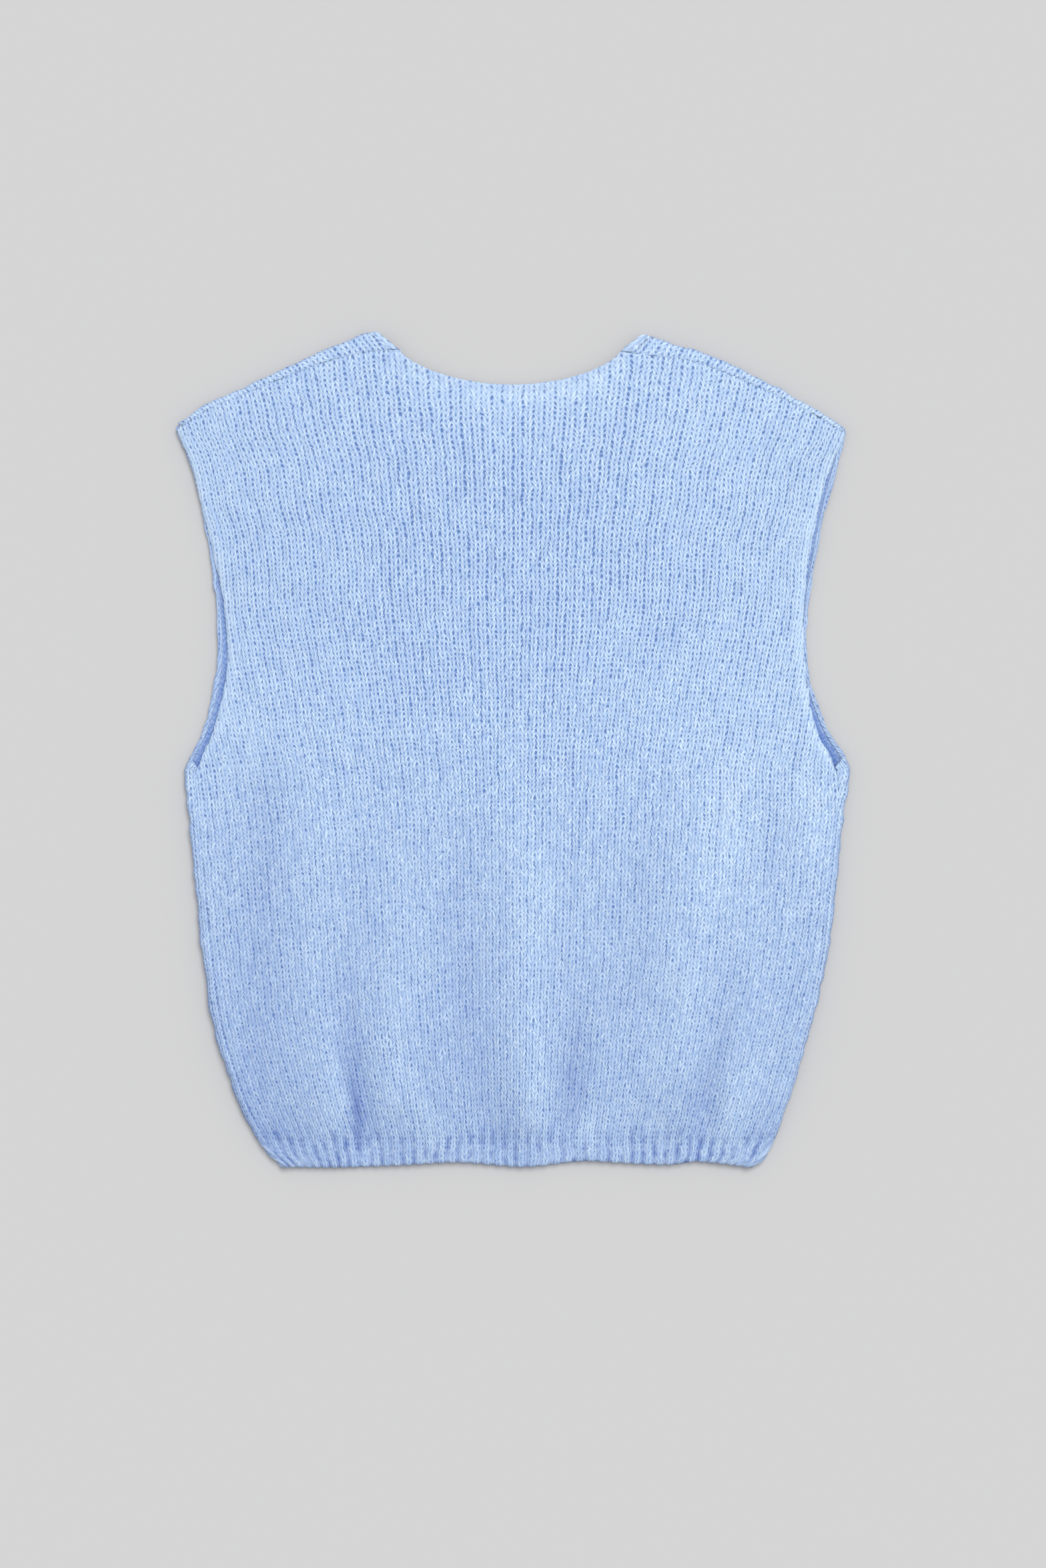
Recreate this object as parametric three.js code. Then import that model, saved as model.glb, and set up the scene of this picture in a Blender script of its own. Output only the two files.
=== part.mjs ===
// A sleeveless sweater vest in chunky stocking stitch, laid flat on its front with the back uppermost.
// Lengths are in millimetres. x runs across the vest, y up from the hem to the neck, z up from the surface.
// Tables give the finished edge of the laid vest. Heights in them are measured up from the hem.
import * as THREE from 'three';

// Cloth
const clothThickness = 3;
const seamGap = 0.3; // between pieces that are sewn together
const layerGap = 0.7; // between the back and the front where they lie on each other

// Heights up from the hem
const ribTop = 21; // height of the ribbed welt
const underarmHeight = 286;
const tipHeight = 530; // outer end of the shoulder

// Ribbed welt
const backRibs = 44;
const ribRaise = 1.1;

// Neck
const bindingWidth = 5.2;
const backNeckDrop = 23.5;
const frontNeckDrop = 104;
const backNeckRoundness = 0.72; // exponent of the back neck curve
const frontNeckRoundness = 2.3; // 2 is an ellipse, and more has straighter sides
const shoulderTip = { left: 242, right: 240.5 }; // distance of the shoulder's outer end from the middle
const shoulderNeck = { left: 97.9, right: 93.1 }; // distance of its neck end, at the fold

const outward = { left: -1, right: 1 };

// Side folds, from the hem to the underarm. inset is how far the side seam lies in from the fold.
const sideFold = [
  { height: 0, left: 166, right: 171, insetLeft: 5.2, insetRight: 5.2 },
  { height: 4, left: 169.5, right: 178, insetLeft: 5.2, insetRight: 5.2 },
  { height: 9, left: 175.5, right: 182.5, insetLeft: 5.4, insetRight: 5.4 },
  { height: 14, left: 179.5, right: 184.8, insetLeft: 5.6, insetRight: 5.6 },
  { height: 24, left: 185.8, right: 189.4, insetLeft: 6, insetRight: 5.8 },
  { height: 46, left: 196.8, right: 197.3, insetLeft: 6.4, insetRight: 6 },
  { height: 70, left: 205.4, right: 205, insetLeft: 6.6, insetRight: 6.2 },
  { height: 94, left: 213.2, right: 211.6, insetLeft: 6.8, insetRight: 6.2 },
  { height: 118, left: 218.4, right: 218.4, insetLeft: 7, insetRight: 6.2 },
  { height: 154, left: 223.2, right: 226.2, insetLeft: 7.4, insetRight: 6 },
  { height: 190, left: 227, right: 230.6, insetLeft: 7.6, insetRight: 6 },
  { height: 238, left: 231.8, right: 235.9, insetLeft: 7.6, insetRight: 6.4 },
  { height: 272, left: 235, right: 240.2, insetLeft: 7.6, insetRight: 7 },
  { height: 286, left: 236.4, right: 241.9, insetLeft: 9.4, insetRight: 10.6 },
];

// Armholes, from the underarm to the shoulder. inset is how far the back's edge lies in from the front's.
const armhole = [
  { height: 286, left: 236.4, right: 241.9, insetLeft: 9.4, insetRight: 10.6 },
  { height: 298, left: 231.4, right: 237.2, insetLeft: 9, insetRight: 10.8 },
  { height: 310, left: 225.1, right: 229.2, insetLeft: 8.2, insetRight: 9.2 },
  { height: 322, left: 220.8, right: 223.4, insetLeft: 7.8, insetRight: 7.6 },
  { height: 346, left: 215, right: 215, insetLeft: 7.5, insetRight: 3.4 },
  { height: 370, left: 212, right: 211.3, insetLeft: 6.9, insetRight: 2.3 },
  { height: 406, left: 214.2, right: 213.1, insetLeft: 5.8, insetRight: 3.6 },
  { height: 442, left: 218.1, right: 218.9, insetLeft: 2.4, insetRight: 5.4 },
  { height: 478, left: 225.1, right: 226.1, insetLeft: 0.4, insetRight: 5.3 },
  { height: 502, left: 231, right: 232.8, insetLeft: 0, insetRight: 4.8 },
  { height: 518, left: 236.6, right: 237, insetLeft: 0, insetRight: 2 },
  { height: 530, left: 242, right: 240.5, insetLeft: 0, insetRight: 0 },
];

// Shoulder folds: height of the fold at a distance from the middle.
const shoulderFold = [
  { across: 92, left: 602, right: 600 },
  { across: 100, left: 600.6, right: 597.4 },
  { across: 110, left: 597.8, right: 593.8 },
  { across: 136, left: 587.2, right: 585.6 },
  { across: 162, left: 576, right: 574.2 },
  { across: 190, left: 562.8, right: 560.4 },
  { across: 218, left: 549.6, right: 544.6 },
  { across: 242, left: 534, right: 529 },
];

// Shoulder seams: how far below the fold, and in towards the neck, from the tip (0) to the neck (1).
const shoulderSeam = [
  { share: 0, drop: 4.4, shift: 0 },
  { share: 0.17, drop: 4.8, shift: 0.4 },
  { share: 0.36, drop: 6.4, shift: 0.8 },
  { share: 0.55, drop: 7.2, shift: 1.6 },
  { share: 0.74, drop: 8.2, shift: 4 },
  { share: 0.9, drop: 11.4, shift: 10.5 },
  { share: 1, drop: 14, shift: 17 },
];

// Hem: rise of the lower edge at a distance across, left negative.
const hemEdge = [
  { across: -166, rise: 0.4 },
  { across: -122, rise: 0.2 },
  { across: -76, rise: 2 },
  { across: -38, rise: 3.8 },
  { across: 8, rise: 0.6 },
  { across: 50, rise: 4.8 },
  { across: 80, rise: 3.2 },
  { across: 111, rise: 2.2 },
  { across: 129, rise: 4.4 },
  { across: 171, rise: 0 },
];

// Radius of the folded cloth, and how far the back puffs up over the front, at a height.
const loft = [
  { height: 0, radius: 3.7, puff: 0 },
  { height: 21, radius: 4, puff: 1.6 },
  { height: 50, radius: 4.7, puff: 4.4 },
  { height: 90, radius: 5, puff: 4.8 },
  { height: 150, radius: 4.6, puff: 3 },
  { height: 230, radius: 4.1, puff: 1.2 },
  { height: 300, radius: 3.8, puff: 0.2 },
  { height: 610, radius: 3.8, puff: 0 },
];

// Folds that the welt gathers into the back. They run from the welt up to top, and fade out there.
const gathers = [
  { atWelt: -177, atTop: -180, top: 330, widthAtWelt: 13, widthAtTop: 20, rise: -2.4 },
  { atWelt: -134, atTop: -139, top: 290, widthAtWelt: 11, widthAtTop: 22, rise: 3 },
  { atWelt: -108, atTop: -121, top: 185, widthAtWelt: 7, widthAtTop: 12, rise: -6 },
  { atWelt: -76, atTop: -76, top: 250, widthAtWelt: 15, widthAtTop: 25, rise: 3 },
  { atWelt: -16, atTop: -36, top: 310, widthAtWelt: 12, widthAtTop: 20, rise: -3.4 },
  { atWelt: 10, atTop: 4, top: 320, widthAtWelt: 13, widthAtTop: 22, rise: 4 },
  { atWelt: 36, atTop: 50, top: 170, widthAtWelt: 8, widthAtTop: 14, rise: -6 },
  { atWelt: 78, atTop: 92, top: 280, widthAtWelt: 18, widthAtTop: 27, rise: -2.4 },
  { atWelt: 120, atTop: 138, top: 300, widthAtWelt: 9, widthAtTop: 20, rise: 3.4 },
  { atWelt: 133, atTop: 156, top: 190, widthAtWelt: 6, widthAtTop: 12, rise: -5.6 },
  { atWelt: 160, atTop: 154, top: 330, widthAtWelt: 11, widthAtTop: 20, rise: 2.6 },
  { atWelt: 186, atTop: 184, top: 290, widthAtWelt: 13, widthAtTop: 18, rise: -2 },
];

// Smooth value of one column of a table, at a place along its key column.
function readTable(table, key, column, place) {
  const last = table.length - 1;
  if (place <= table[0][key]) return table[0][column];
  if (place >= table[last][key]) return table[last][column];
  let row = 0;
  while (place > table[row + 1][key]) row += 1;
  const slopeAt = (n) => {
    const before = table[Math.max(n - 1, 0)];
    const after = table[Math.min(n + 1, last)];
    return (after[column] - before[column]) / (after[key] - before[key]);
  };
  const span = table[row + 1][key] - table[row][key];
  const t = (place - table[row][key]) / span;
  const start = table[row][column];
  const end = table[row + 1][column];
  return (
    start * (2 * t ** 3 - 3 * t ** 2 + 1) +
    end * (3 * t ** 2 - 2 * t ** 3) +
    slopeAt(row) * span * (t ** 3 - 2 * t ** 2 + t) +
    slopeAt(row + 1) * span * (t ** 3 - t ** 2)
  );
}

const mix = (a, b, share) => a + (b - a) * share;
const up = new THREE.Vector3(0, 0, 1);
const smoothStep = THREE.MathUtils.smoothstep;
const shares = (count) => Array.from({ length: count + 1 }, (_, n) => n / count);

const sideTable = (height) => (height <= underarmHeight ? sideFold : armhole);
const foldRadius = (height) => readTable(loft, 'height', 'radius', height);

// x of the laid vest's outer edge.
function outline(side, height) {
  return outward[side] * readTable(sideTable(height), 'height', side, height);
}

// How far the side seam, or above it the back's armhole edge, lies in from the outer edge.
function sideInset(side, height) {
  const column = side === 'left' ? 'insetLeft' : 'insetRight';
  return Math.max(0, readTable(sideTable(height), 'height', column, height));
}

// Points of the shoulder, from the tip (0) to the neck (1), in plan.
function shoulderFoldPoint(side, share) {
  const across = mix(shoulderTip[side], shoulderNeck[side], share);
  return new THREE.Vector2(outward[side] * across, readTable(shoulderFold, 'across', side, across));
}

function shoulderSeamPoint(side, share, gap = 0) {
  const point = shoulderFoldPoint(side, share);
  point.x -= outward[side] * readTable(shoulderSeam, 'share', 'shift', share);
  point.y -= readTable(shoulderSeam, 'share', 'drop', share) + gap;
  return point;
}

// Share of the shoulder that the panels cover. The binding covers the rest.
const panelShare = 0.964;

// A neck curve between two end points. u goes from -1 at the left end to 1 at the right end.
function neckCurve(leftEnd, rightEnd, drop, fullness, u) {
  const x = mix(leftEnd.x, rightEnd.x, (u + 1) / 2);
  const endHeight = mix(leftEnd.y, rightEnd.y, (u + 1) / 2);
  return new THREE.Vector2(x, endHeight - drop * fullness(u));
}

const backFullness = (u) => Math.max(0, 1 - u * u) ** backNeckRoundness;
const frontFullness = (u) =>
  Math.max(0, 1 - Math.abs(u) ** frontNeckRoundness) ** (1 / frontNeckRoundness);

// Back neck: the finished edge, and the panel's edge below the binding.
function backNeck(u) {
  return neckCurve(
    shoulderSeamPoint('left', 1, seamGap),
    shoulderSeamPoint('right', 1, seamGap),
    backNeckDrop,
    backFullness,
    u,
  );
}

function backPanelNeck(u) {
  return neckCurve(
    shoulderSeamPoint('left', panelShare, seamGap),
    shoulderSeamPoint('right', panelShare, seamGap),
    backNeckDrop + bindingWidth,
    backFullness,
    u,
  );
}

// A point where cloth folds over an edge: it starts under the edge, goes round it and ends at the seam.
function foldOver(edge, seam, radius, share, curl = null) {
  const inward = seam.clone().sub(edge);
  const reach = inward.length();
  inward.normalize();
  const halfTurn = Math.PI * radius;
  const length = curl === null ? halfTurn + Math.max(0, reach - radius) : curl * radius;
  const travelled = share * length;
  const turned = Math.min(travelled, halfTurn) / radius;
  const flat = Math.max(0, travelled - halfTurn);
  const depth = radius * (1 - Math.sin(turned)) + flat;
  return new THREE.Vector3(
    edge.x + inward.x * depth,
    edge.y + inward.y * depth,
    radius * (1 - Math.cos(turned)),
  );
}

// The front's cloth where it folds over the shoulder.
function shoulderWrap(side, place, share) {
  const edge = shoulderFoldPoint(side, place);
  return foldOver(edge, shoulderSeamPoint(side, place), foldRadius(edge.y), share);
}

// The front's cloth at its sides: a fold up to the side seam, and above the underarm an edge that curls up.
const underarmTurn = 12; // height over which the fold opens into the armhole
const lowCurl = 1.36; // angle where the back's edge lies over the curl
const highCurl = 2.25; // angle where it lies clear of it

function sideWrap(side, height, share) {
  const radius = foldRadius(height);
  const edge = new THREE.Vector2(outline(side, height), height);
  const inset = sideInset(side, height) - seamGap / 2;
  const seam = new THREE.Vector2(edge.x - outward[side] * inset, height);
  if (height <= underarmHeight) return foldOver(edge, seam, radius, share);
  const whole = Math.PI + Math.max(0, inset - radius) / radius;
  const curl = mix(lowCurl, highCurl, smoothStep(inset, radius + 0.2, radius + 1.6));
  const opened = smoothStep(height, underarmHeight, underarmHeight + underarmTurn);
  return foldOver(edge, seam.setX(edge.x - outward[side]), radius, share, mix(whole, curl, opened));
}

// Front neck, in plan: the finished edge, or the panel's edge below the binding.
function frontNeckAt(place, extraDrop, u) {
  const start = shoulderWrap('left', place, 0);
  const end = shoulderWrap('right', place, 0);
  return neckCurve(start, end, frontNeckDrop + extraDrop, frontFullness, u);
}

// Height of the back's upper face.
const neckSag = 2.6; // the back sinks where no front lies under it
const sagHalfWidth = 68;
const sagHalfHeight = 50;
const sagCentre = { x: -3, height: 572 };

function gatherRise(x, height) {
  let rise = 0;
  for (const fold of gathers) {
    const climb = (height - ribTop) / (fold.top - ribTop);
    const share = THREE.MathUtils.clamp(climb, 0, 1);
    const centre = mix(fold.atWelt, fold.atTop, share);
    const width = mix(fold.widthAtWelt, fold.widthAtTop, share);
    const strength = 1 - smoothStep(share, 0.1, 1);
    rise += fold.rise * strength * Math.exp(-(((x - centre) / width) ** 2) / 2);
  }
  return rise * mix(0.12, 1, smoothStep(height, 0, 48));
}

function backTop(x, height) {
  const lower = Math.min(height, tipHeight);
  const left = outline('left', lower);
  const right = outline('right', lower);
  const fromEdge = Math.min(x - left, right - x);
  const inner = smoothStep(fromEdge, 4, 46);
  const rest = mix(2 * foldRadius(height), 2 * clothThickness + layerGap + 0.6, inner);
  const puff = readTable(loft, 'height', 'puff', height) * inner;
  const gathered = gatherRise(x, height) * smoothStep(fromEdge, 6, 30);
  const across = (x - sagCentre.x) / sagHalfWidth;
  const along = (height - sagCentre.height) / sagHalfHeight;
  const sag = neckSag * Math.max(0, 1 - across ** 2 - along ** 2);
  return Math.max(rest + puff + gathered, 2 * clothThickness + layerGap) - sag;
}

// A wall of cloth on a grid of outer points. grid[i][j] is a Vector3, or null where there is no cloth.
// inner(point, normal, i, j) gives the point on the other side.
function clothWall(name, grid, inner, material) {
  const at = (i, j) => (grid[i] && grid[i][j] ? grid[i][j] : null);
  const positions = [];
  const indexOf = new Map();
  const facing = new Map();
  const cells = [];
  for (let i = 0; i + 1 < grid.length; i += 1) {
    for (let j = 0; j + 1 < grid[i].length; j += 1) {
      const corners = [[i, j], [i + 1, j], [i + 1, j + 1], [i, j + 1]];
      if (corners.some(([a, b]) => at(a, b) === null)) continue;
      cells.push(corners.map(([a, b]) => `${a},${b}`));
      const [p, q, r, s] = corners.map(([a, b]) => at(a, b));
      const normal = r.clone().sub(p).cross(s.clone().sub(q)).normalize();
      for (const [a, b] of corners) {
        const key = `${a},${b}`;
        if (!facing.has(key)) facing.set(key, new THREE.Vector3());
        facing.get(key).add(normal);
      }
    }
  }
  for (const [key, normal] of facing) {
    const [i, j] = key.split(',').map(Number);
    const outer = at(i, j);
    const other = inner(outer, normal.normalize(), i, j);
    indexOf.set(key, positions.length / 3);
    positions.push(outer.x, outer.y, outer.z, other.x, other.y, other.z);
  }
  const triangles = [];
  const edges = new Map();
  for (const keys of cells) {
    const [a, b, c, d] = keys.map((key) => indexOf.get(key));
    triangles.push(a, b, c, a, c, d, a + 1, c + 1, b + 1, a + 1, d + 1, c + 1);
    for (const [from, to] of [[a, b], [b, c], [c, d], [d, a]]) {
      const back = `${to},${from}`;
      if (edges.has(back)) edges.delete(back);
      else edges.set(`${from},${to}`, [from, to]);
    }
  }
  for (const [from, to] of edges.values()) {
    triangles.push(from, from + 1, to + 1, from, to + 1, to);
  }
  return closedMesh(name, positions, triangles, material);
}

// A band along a path of frames. Each has the middle of the band, its half width and its half thickness.
function band(name, frames, material) {
  const section = [[-1, -0.5], [-0.7, -1], [0.7, -1], [1, -0.5], [1, 0.5], [0.7, 1], [-0.7, 1], [-1, 0.5]];
  const positions = [];
  const triangles = [];
  const count = section.length;
  for (const { middle, half, lift } of frames) {
    for (const [wide, high] of section) {
      const point = middle.clone().addScaledVector(half, wide).addScaledVector(lift, high);
      positions.push(point.x, point.y, point.z);
    }
  }
  for (let n = 0; n + 1 < frames.length; n += 1) {
    for (let k = 0; k < count; k += 1) {
      const a = n * count + k;
      const b = n * count + ((k + 1) % count);
      triangles.push(a, b, b + count, a, b + count, a + count);
    }
  }
  const last = (frames.length - 1) * count;
  for (let k = 1; k + 1 < count; k += 1) {
    triangles.push(0, k + 1, k, last, last + k, last + k + 1);
  }
  return closedMesh(name, positions, triangles, material);
}

function closedMesh(name, positions, triangles, material) {
  const point = (n) => new THREE.Vector3().fromArray(positions, 3 * n);
  let volume = 0;
  for (let n = 0; n < triangles.length; n += 3) {
    const [a, b, c] = [0, 1, 2].map((k) => point(triangles[n + k]));
    volume += a.dot(b.cross(c));
  }
  if (volume < 0) triangles.reverse();
  const geometry = new THREE.BufferGeometry();
  geometry.setAttribute('position', new THREE.Float32BufferAttribute(positions, 3));
  geometry.setIndex(triangles);
  geometry.computeVertexNormals();
  const mesh = new THREE.Mesh(geometry, material);
  mesh.name = name;
  return mesh;
}

const knit = new THREE.MeshStandardMaterial({ color: 0x9fbfe8, roughness: 0.9, metalness: 0 });
const ribKnit = new THREE.MeshStandardMaterial({ color: 0x94b4df, roughness: 0.9, metalness: 0 });
const bound = new THREE.MeshStandardMaterial({ color: 0xa9c8ef, roughness: 0.9, metalness: 0 });

const shoulderColumns = 11;
const neckColumns = 20;
const lowerRows = [21, 30, 42, 58, 78, 104, 138, 180, 228, 268, 286];
const upperRows = [0.045, 0.09, 0.14, 0.22, 0.33, 0.46, 0.59, 0.72, 0.84, 0.94, 1];

// Heights of one column's rows: level up to the underarm, then spread up to the column's top.
function columnHeights(top) {
  return [...lowerRows, ...upperRows.map((share) => mix(underarmHeight, top, share))];
}

// The shoulder's columns start where the side's fold ends. The back has one more, at the tip.
const tipRadius = foldRadius(tipHeight);
const firstPlace = tipRadius / (shoulderTip.left - shoulderNeck.left);
const shoulderPlaces = shares(shoulderColumns).map((share) => mix(firstPlace, panelShare, share));

// Columns of a panel: the top point of each, and its share of the way across.
function panelColumns(places, shoulderPoint, neckPoint, leftEdge, rightEdge) {
  const around = shares(neckColumns).slice(1, -1).map((share) => -Math.cos(Math.PI * share));
  const columns = [
    ...places.map((place) => ({ side: 'left', place, top: shoulderPoint('left', place) })),
    ...around.map((u) => ({ side: null, place: u, top: neckPoint(u) })),
    ...[...places].reverse().map((place) => ({ side: 'right', place, top: shoulderPoint('right', place) })),
  ];
  for (const column of columns) {
    const height = Math.min(column.top.y, tipHeight);
    column.share = (column.top.x - leftEdge(height)) / (rightEdge(height) - leftEdge(height));
  }
  columns[0].share = 0;
  columns[columns.length - 1].share = 1;
  return columns;
}

// The back: the upper layer, from the side seams and welt to the shoulder seams and neck binding.
function backPanel() {
  const edge = (side, height) => {
    const gap = height <= underarmHeight ? seamGap / 2 : 0;
    return outline(side, height) - outward[side] * (sideInset(side, height) + gap);
  };
  const leftEdge = (height) => edge('left', height);
  const rightEdge = (height) => edge('right', height);
  const seamLine = (side, place) => shoulderSeamPoint(side, place, seamGap);
  const columns = panelColumns([0, ...shoulderPlaces], seamLine, backPanelNeck, leftEdge, rightEdge);
  const grid = columns.map((column) =>
    columnHeights(column.top.y).map((height) => {
      const level = Math.min(height, tipHeight);
      const x = mix(leftEdge(level), rightEdge(level), column.share);
      return new THREE.Vector3(x, height + (height === ribTop ? seamGap / 2 : 0), backTop(x, height));
    }),
  );
  const inner = (point, normal, i, j) => {
    const atSide = i === 0 || i === grid.length - 1;
    const atShoulder = columns[i].side !== null && j === grid[i].length - 1;
    const other = point.clone().addScaledVector(atSide || atShoulder ? up : normal, -clothThickness);
    other.y = Math.max(other.y, ribTop + seamGap / 2);
    return other;
  };
  return clothWall('back_panel', grid, inner, knit);
}

// The front: the lower layer. It folds up round the sides to the side seams, and over the shoulders.
const sideWrapSteps = 6;
const shoulderWrapSteps = 6;

function frontPanel() {
  const inner = (side, height) => outline(side, height) - outward[side] * foldRadius(height);
  const leftEdge = (height) => inner('left', height);
  const rightEdge = (height) => inner('right', height);
  const foldStart = (side, place) => {
    const point = shoulderWrap(side, place, 0);
    return new THREE.Vector2(point.x, point.y);
  };
  const panelNeck = (u) => frontNeckAt(panelShare, bindingWidth, u);
  const columns = panelColumns(shoulderPlaces, foldStart, panelNeck, leftEdge, rightEdge);
  const wrapColumn = (side, share, top) => {
    const lower = columnHeights(top).map((height) => sideWrap(side, Math.min(height, tipHeight), share));
    lower.forEach((point, n) => point.setY(columnHeights(top)[n]));
    return lower;
  };
  const main = columns.map((column) => {
    const lower = columnHeights(column.top.y).map((height) => {
      const level = Math.min(height, tipHeight);
      return new THREE.Vector3(mix(leftEdge(level), rightEdge(level), column.share), height, 0);
    });
    const upper = shares(shoulderWrapSteps).slice(1).map((share) =>
      column.side ? shoulderWrap(column.side, column.place, share) : null,
    );
    return [...lower, ...upper];
  });
  const steps = shares(sideWrapSteps).slice(1);
  const grid = [
    ...steps.map((share) => wrapColumn('left', share, columns[0].top.y)).reverse(),
    ...main,
    ...steps.map((share) => wrapColumn('right', share, columns[columns.length - 1].top.y)),
  ];
  for (const column of grid) column[0].y += seamGap / 2;
  const otherSide = (point, normal, i, j) => {
    const atSide = (i === 0 || i === grid.length - 1) && j < lowerRows.length;
    const atSeam = atSide || j === lowerRows.length + upperRows.length + shoulderWrapSteps - 1;
    const inward = atSeam ? up.clone().negate() : normal;
    const other = point.clone().addScaledVector(inward, clothThickness);
    other.y = Math.max(other.y, ribTop + seamGap / 2);
    return other;
  };
  return clothWall('front_panel', grid, otherSide, knit);
}

// The welt: a ribbed band below each panel. The back's ribs are raised, and the front's are plain.
const weltRows = 3;

function weltHeight(x, share) {
  return mix(readTable(hemEdge, 'across', 'rise', x), ribTop - seamGap / 2, share);
}

function weltEdge(side, height) {
  return outline(side, height) - outward[side] * (sideInset(side, height) + seamGap / 2);
}

function backWelt() {
  const grid = shares(2 * backRibs).map((across, n) =>
    shares(weltRows).map((share) => {
      const nearX = mix(weltEdge('left', ribTop * share), weltEdge('right', ribTop * share), across);
      const height = weltHeight(nearX, share);
      const x = mix(weltEdge('left', height), weltEdge('right', height), across);
      return new THREE.Vector3(x, height, backTop(x, height) + (n % 2) * ribRaise);
    }),
  );
  const inner = (point, normal, i) => {
    const plain = point.z - (i % 2) * ribRaise - clothThickness;
    return new THREE.Vector3(point.x, point.y, plain);
  };
  return clothWall('back_hem_rib', grid, inner, ribKnit);
}

function frontWelt() {
  const wrapColumn = (side, share) =>
    shares(weltRows).map((row) => sideWrap(side, weltHeight(weltEdge(side, ribTop * row), row), share));
  const inner = (side, height) => outline(side, height) - outward[side] * foldRadius(height);
  const main = shares(backRibs / 2).map((across) =>
    shares(weltRows).map((share) => {
      const nearX = mix(inner('left', ribTop * share), inner('right', ribTop * share), across);
      const height = weltHeight(nearX, share);
      return new THREE.Vector3(mix(inner('left', height), inner('right', height), across), height, 0);
    }),
  );
  const steps = shares(sideWrapSteps).slice(1);
  const grid = [
    ...steps.map((share) => wrapColumn('left', share)).reverse(),
    ...main,
    ...steps.map((share) => wrapColumn('right', share)),
  ];
  const otherSide = (point, normal, i) => {
    const atSeam = i === 0 || i === grid.length - 1;
    const inward = atSeam ? up.clone().negate() : normal;
    const other = point.clone().addScaledVector(inward, clothThickness);
    other.y = point.y;
    return other;
  };
  return clothWall('front_hem_rib', grid, otherSide, ribKnit);
}

// The bindings fill the strip between a panel's neck edge and the finished edge.
function bindingFrame(finished, panel, outer, gap = seamGap) {
  const wide = finished.clone().sub(panel);
  const half = wide.clone().setLength((wide.length() - gap) / 2);
  const middle = finished.clone().sub(half);
  const lift = outer.clone().multiplyScalar(clothThickness / 2);
  return { middle: middle.sub(lift), half, lift };
}

function backBinding() {
  const frames = shares(neckColumns).map((share) => {
    const u = -Math.cos(Math.PI * share);
    const finished = backNeck(u);
    const panel = backPanelNeck(u);
    const raised = (point) => new THREE.Vector3(point.x, point.y, backTop(panel.x, panel.y));
    return bindingFrame(raised(finished), raised(panel), up);
  });
  return band('back_neck_binding', frames, bound);
}

const wrapStop = 0.93; // the front's binding stops just short of the shoulder seam

function frontBinding() {
  const step = 1 / shoulderWrapSteps;
  const over = (side) =>
    [...shares(shoulderWrapSteps).slice(1, -1), wrapStop].map((share) => {
      const finished = shoulderWrap(side, 1, share);
      const panel = shoulderWrap(side, panelShare, share);
      const along = shoulderWrap(side, 1, share + step).sub(shoulderWrap(side, 1, share - step));
      const wide = finished.clone().sub(panel);
      const outer = along.cross(wide).setLength(-outward[side]);
      return bindingFrame(finished, panel, outer, 4 * seamGap);
    });
  const round = shares(neckColumns).map((share) => {
    const u = -Math.cos(Math.PI * share);
    const flat = (point) => new THREE.Vector3(point.x, point.y, 0);
    const finished = flat(frontNeckAt(1, 0, u));
    return bindingFrame(finished, flat(frontNeckAt(panelShare, bindingWidth, u)), up.clone().negate());
  });
  return band('front_neck_binding', [...over('left').reverse(), ...round, ...over('right')], bound);
}

const vest = new THREE.Group();
vest.add(backPanel(), frontPanel(), backWelt(), frontWelt(), backBinding(), frontBinding());

// The origin is the middle of the underside.
const box = new THREE.Box3().setFromObject(vest);
vest.position.set(-(box.min.x + box.max.x) / 2, -(box.min.y + box.max.y) / 2, -box.min.z);
vest.updateMatrixWorld(true);

export default vest;
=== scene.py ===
import math

import bpy
import numpy as np
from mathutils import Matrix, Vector


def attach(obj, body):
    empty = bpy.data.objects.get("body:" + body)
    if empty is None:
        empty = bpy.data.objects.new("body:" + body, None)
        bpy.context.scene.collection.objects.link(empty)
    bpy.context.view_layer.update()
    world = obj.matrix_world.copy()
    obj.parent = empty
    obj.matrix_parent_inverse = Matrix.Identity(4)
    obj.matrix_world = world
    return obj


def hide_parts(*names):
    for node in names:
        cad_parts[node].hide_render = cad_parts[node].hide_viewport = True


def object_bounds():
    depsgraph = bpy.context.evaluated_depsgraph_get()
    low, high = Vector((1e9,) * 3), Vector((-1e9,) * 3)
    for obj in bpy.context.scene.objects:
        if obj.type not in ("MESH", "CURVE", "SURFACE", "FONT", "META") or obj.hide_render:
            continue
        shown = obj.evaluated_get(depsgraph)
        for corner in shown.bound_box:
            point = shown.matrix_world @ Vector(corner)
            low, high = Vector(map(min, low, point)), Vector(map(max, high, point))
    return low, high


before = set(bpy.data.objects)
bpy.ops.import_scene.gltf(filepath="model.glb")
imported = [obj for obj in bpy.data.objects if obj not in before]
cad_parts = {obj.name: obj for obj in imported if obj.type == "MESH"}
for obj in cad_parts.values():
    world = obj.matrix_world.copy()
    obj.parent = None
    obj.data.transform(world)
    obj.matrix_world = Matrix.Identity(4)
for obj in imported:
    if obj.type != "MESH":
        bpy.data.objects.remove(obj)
cadLow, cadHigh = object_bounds()
scene = bpy.context.scene
scene.view_settings.view_transform = "Standard"
scene.view_settings.look = "None"

# Shape of the laid vest, in millimetres. Heights run up from the hem, and x from the middle.
sides = ("left", "right")
outward = {"left": -1.0, "right": 1.0}
cloth = {"thickness": 3.0, "layerGap": 0.7, "ribTop": 21.0, "underarm": 286.0, "tip": 530.0}

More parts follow.
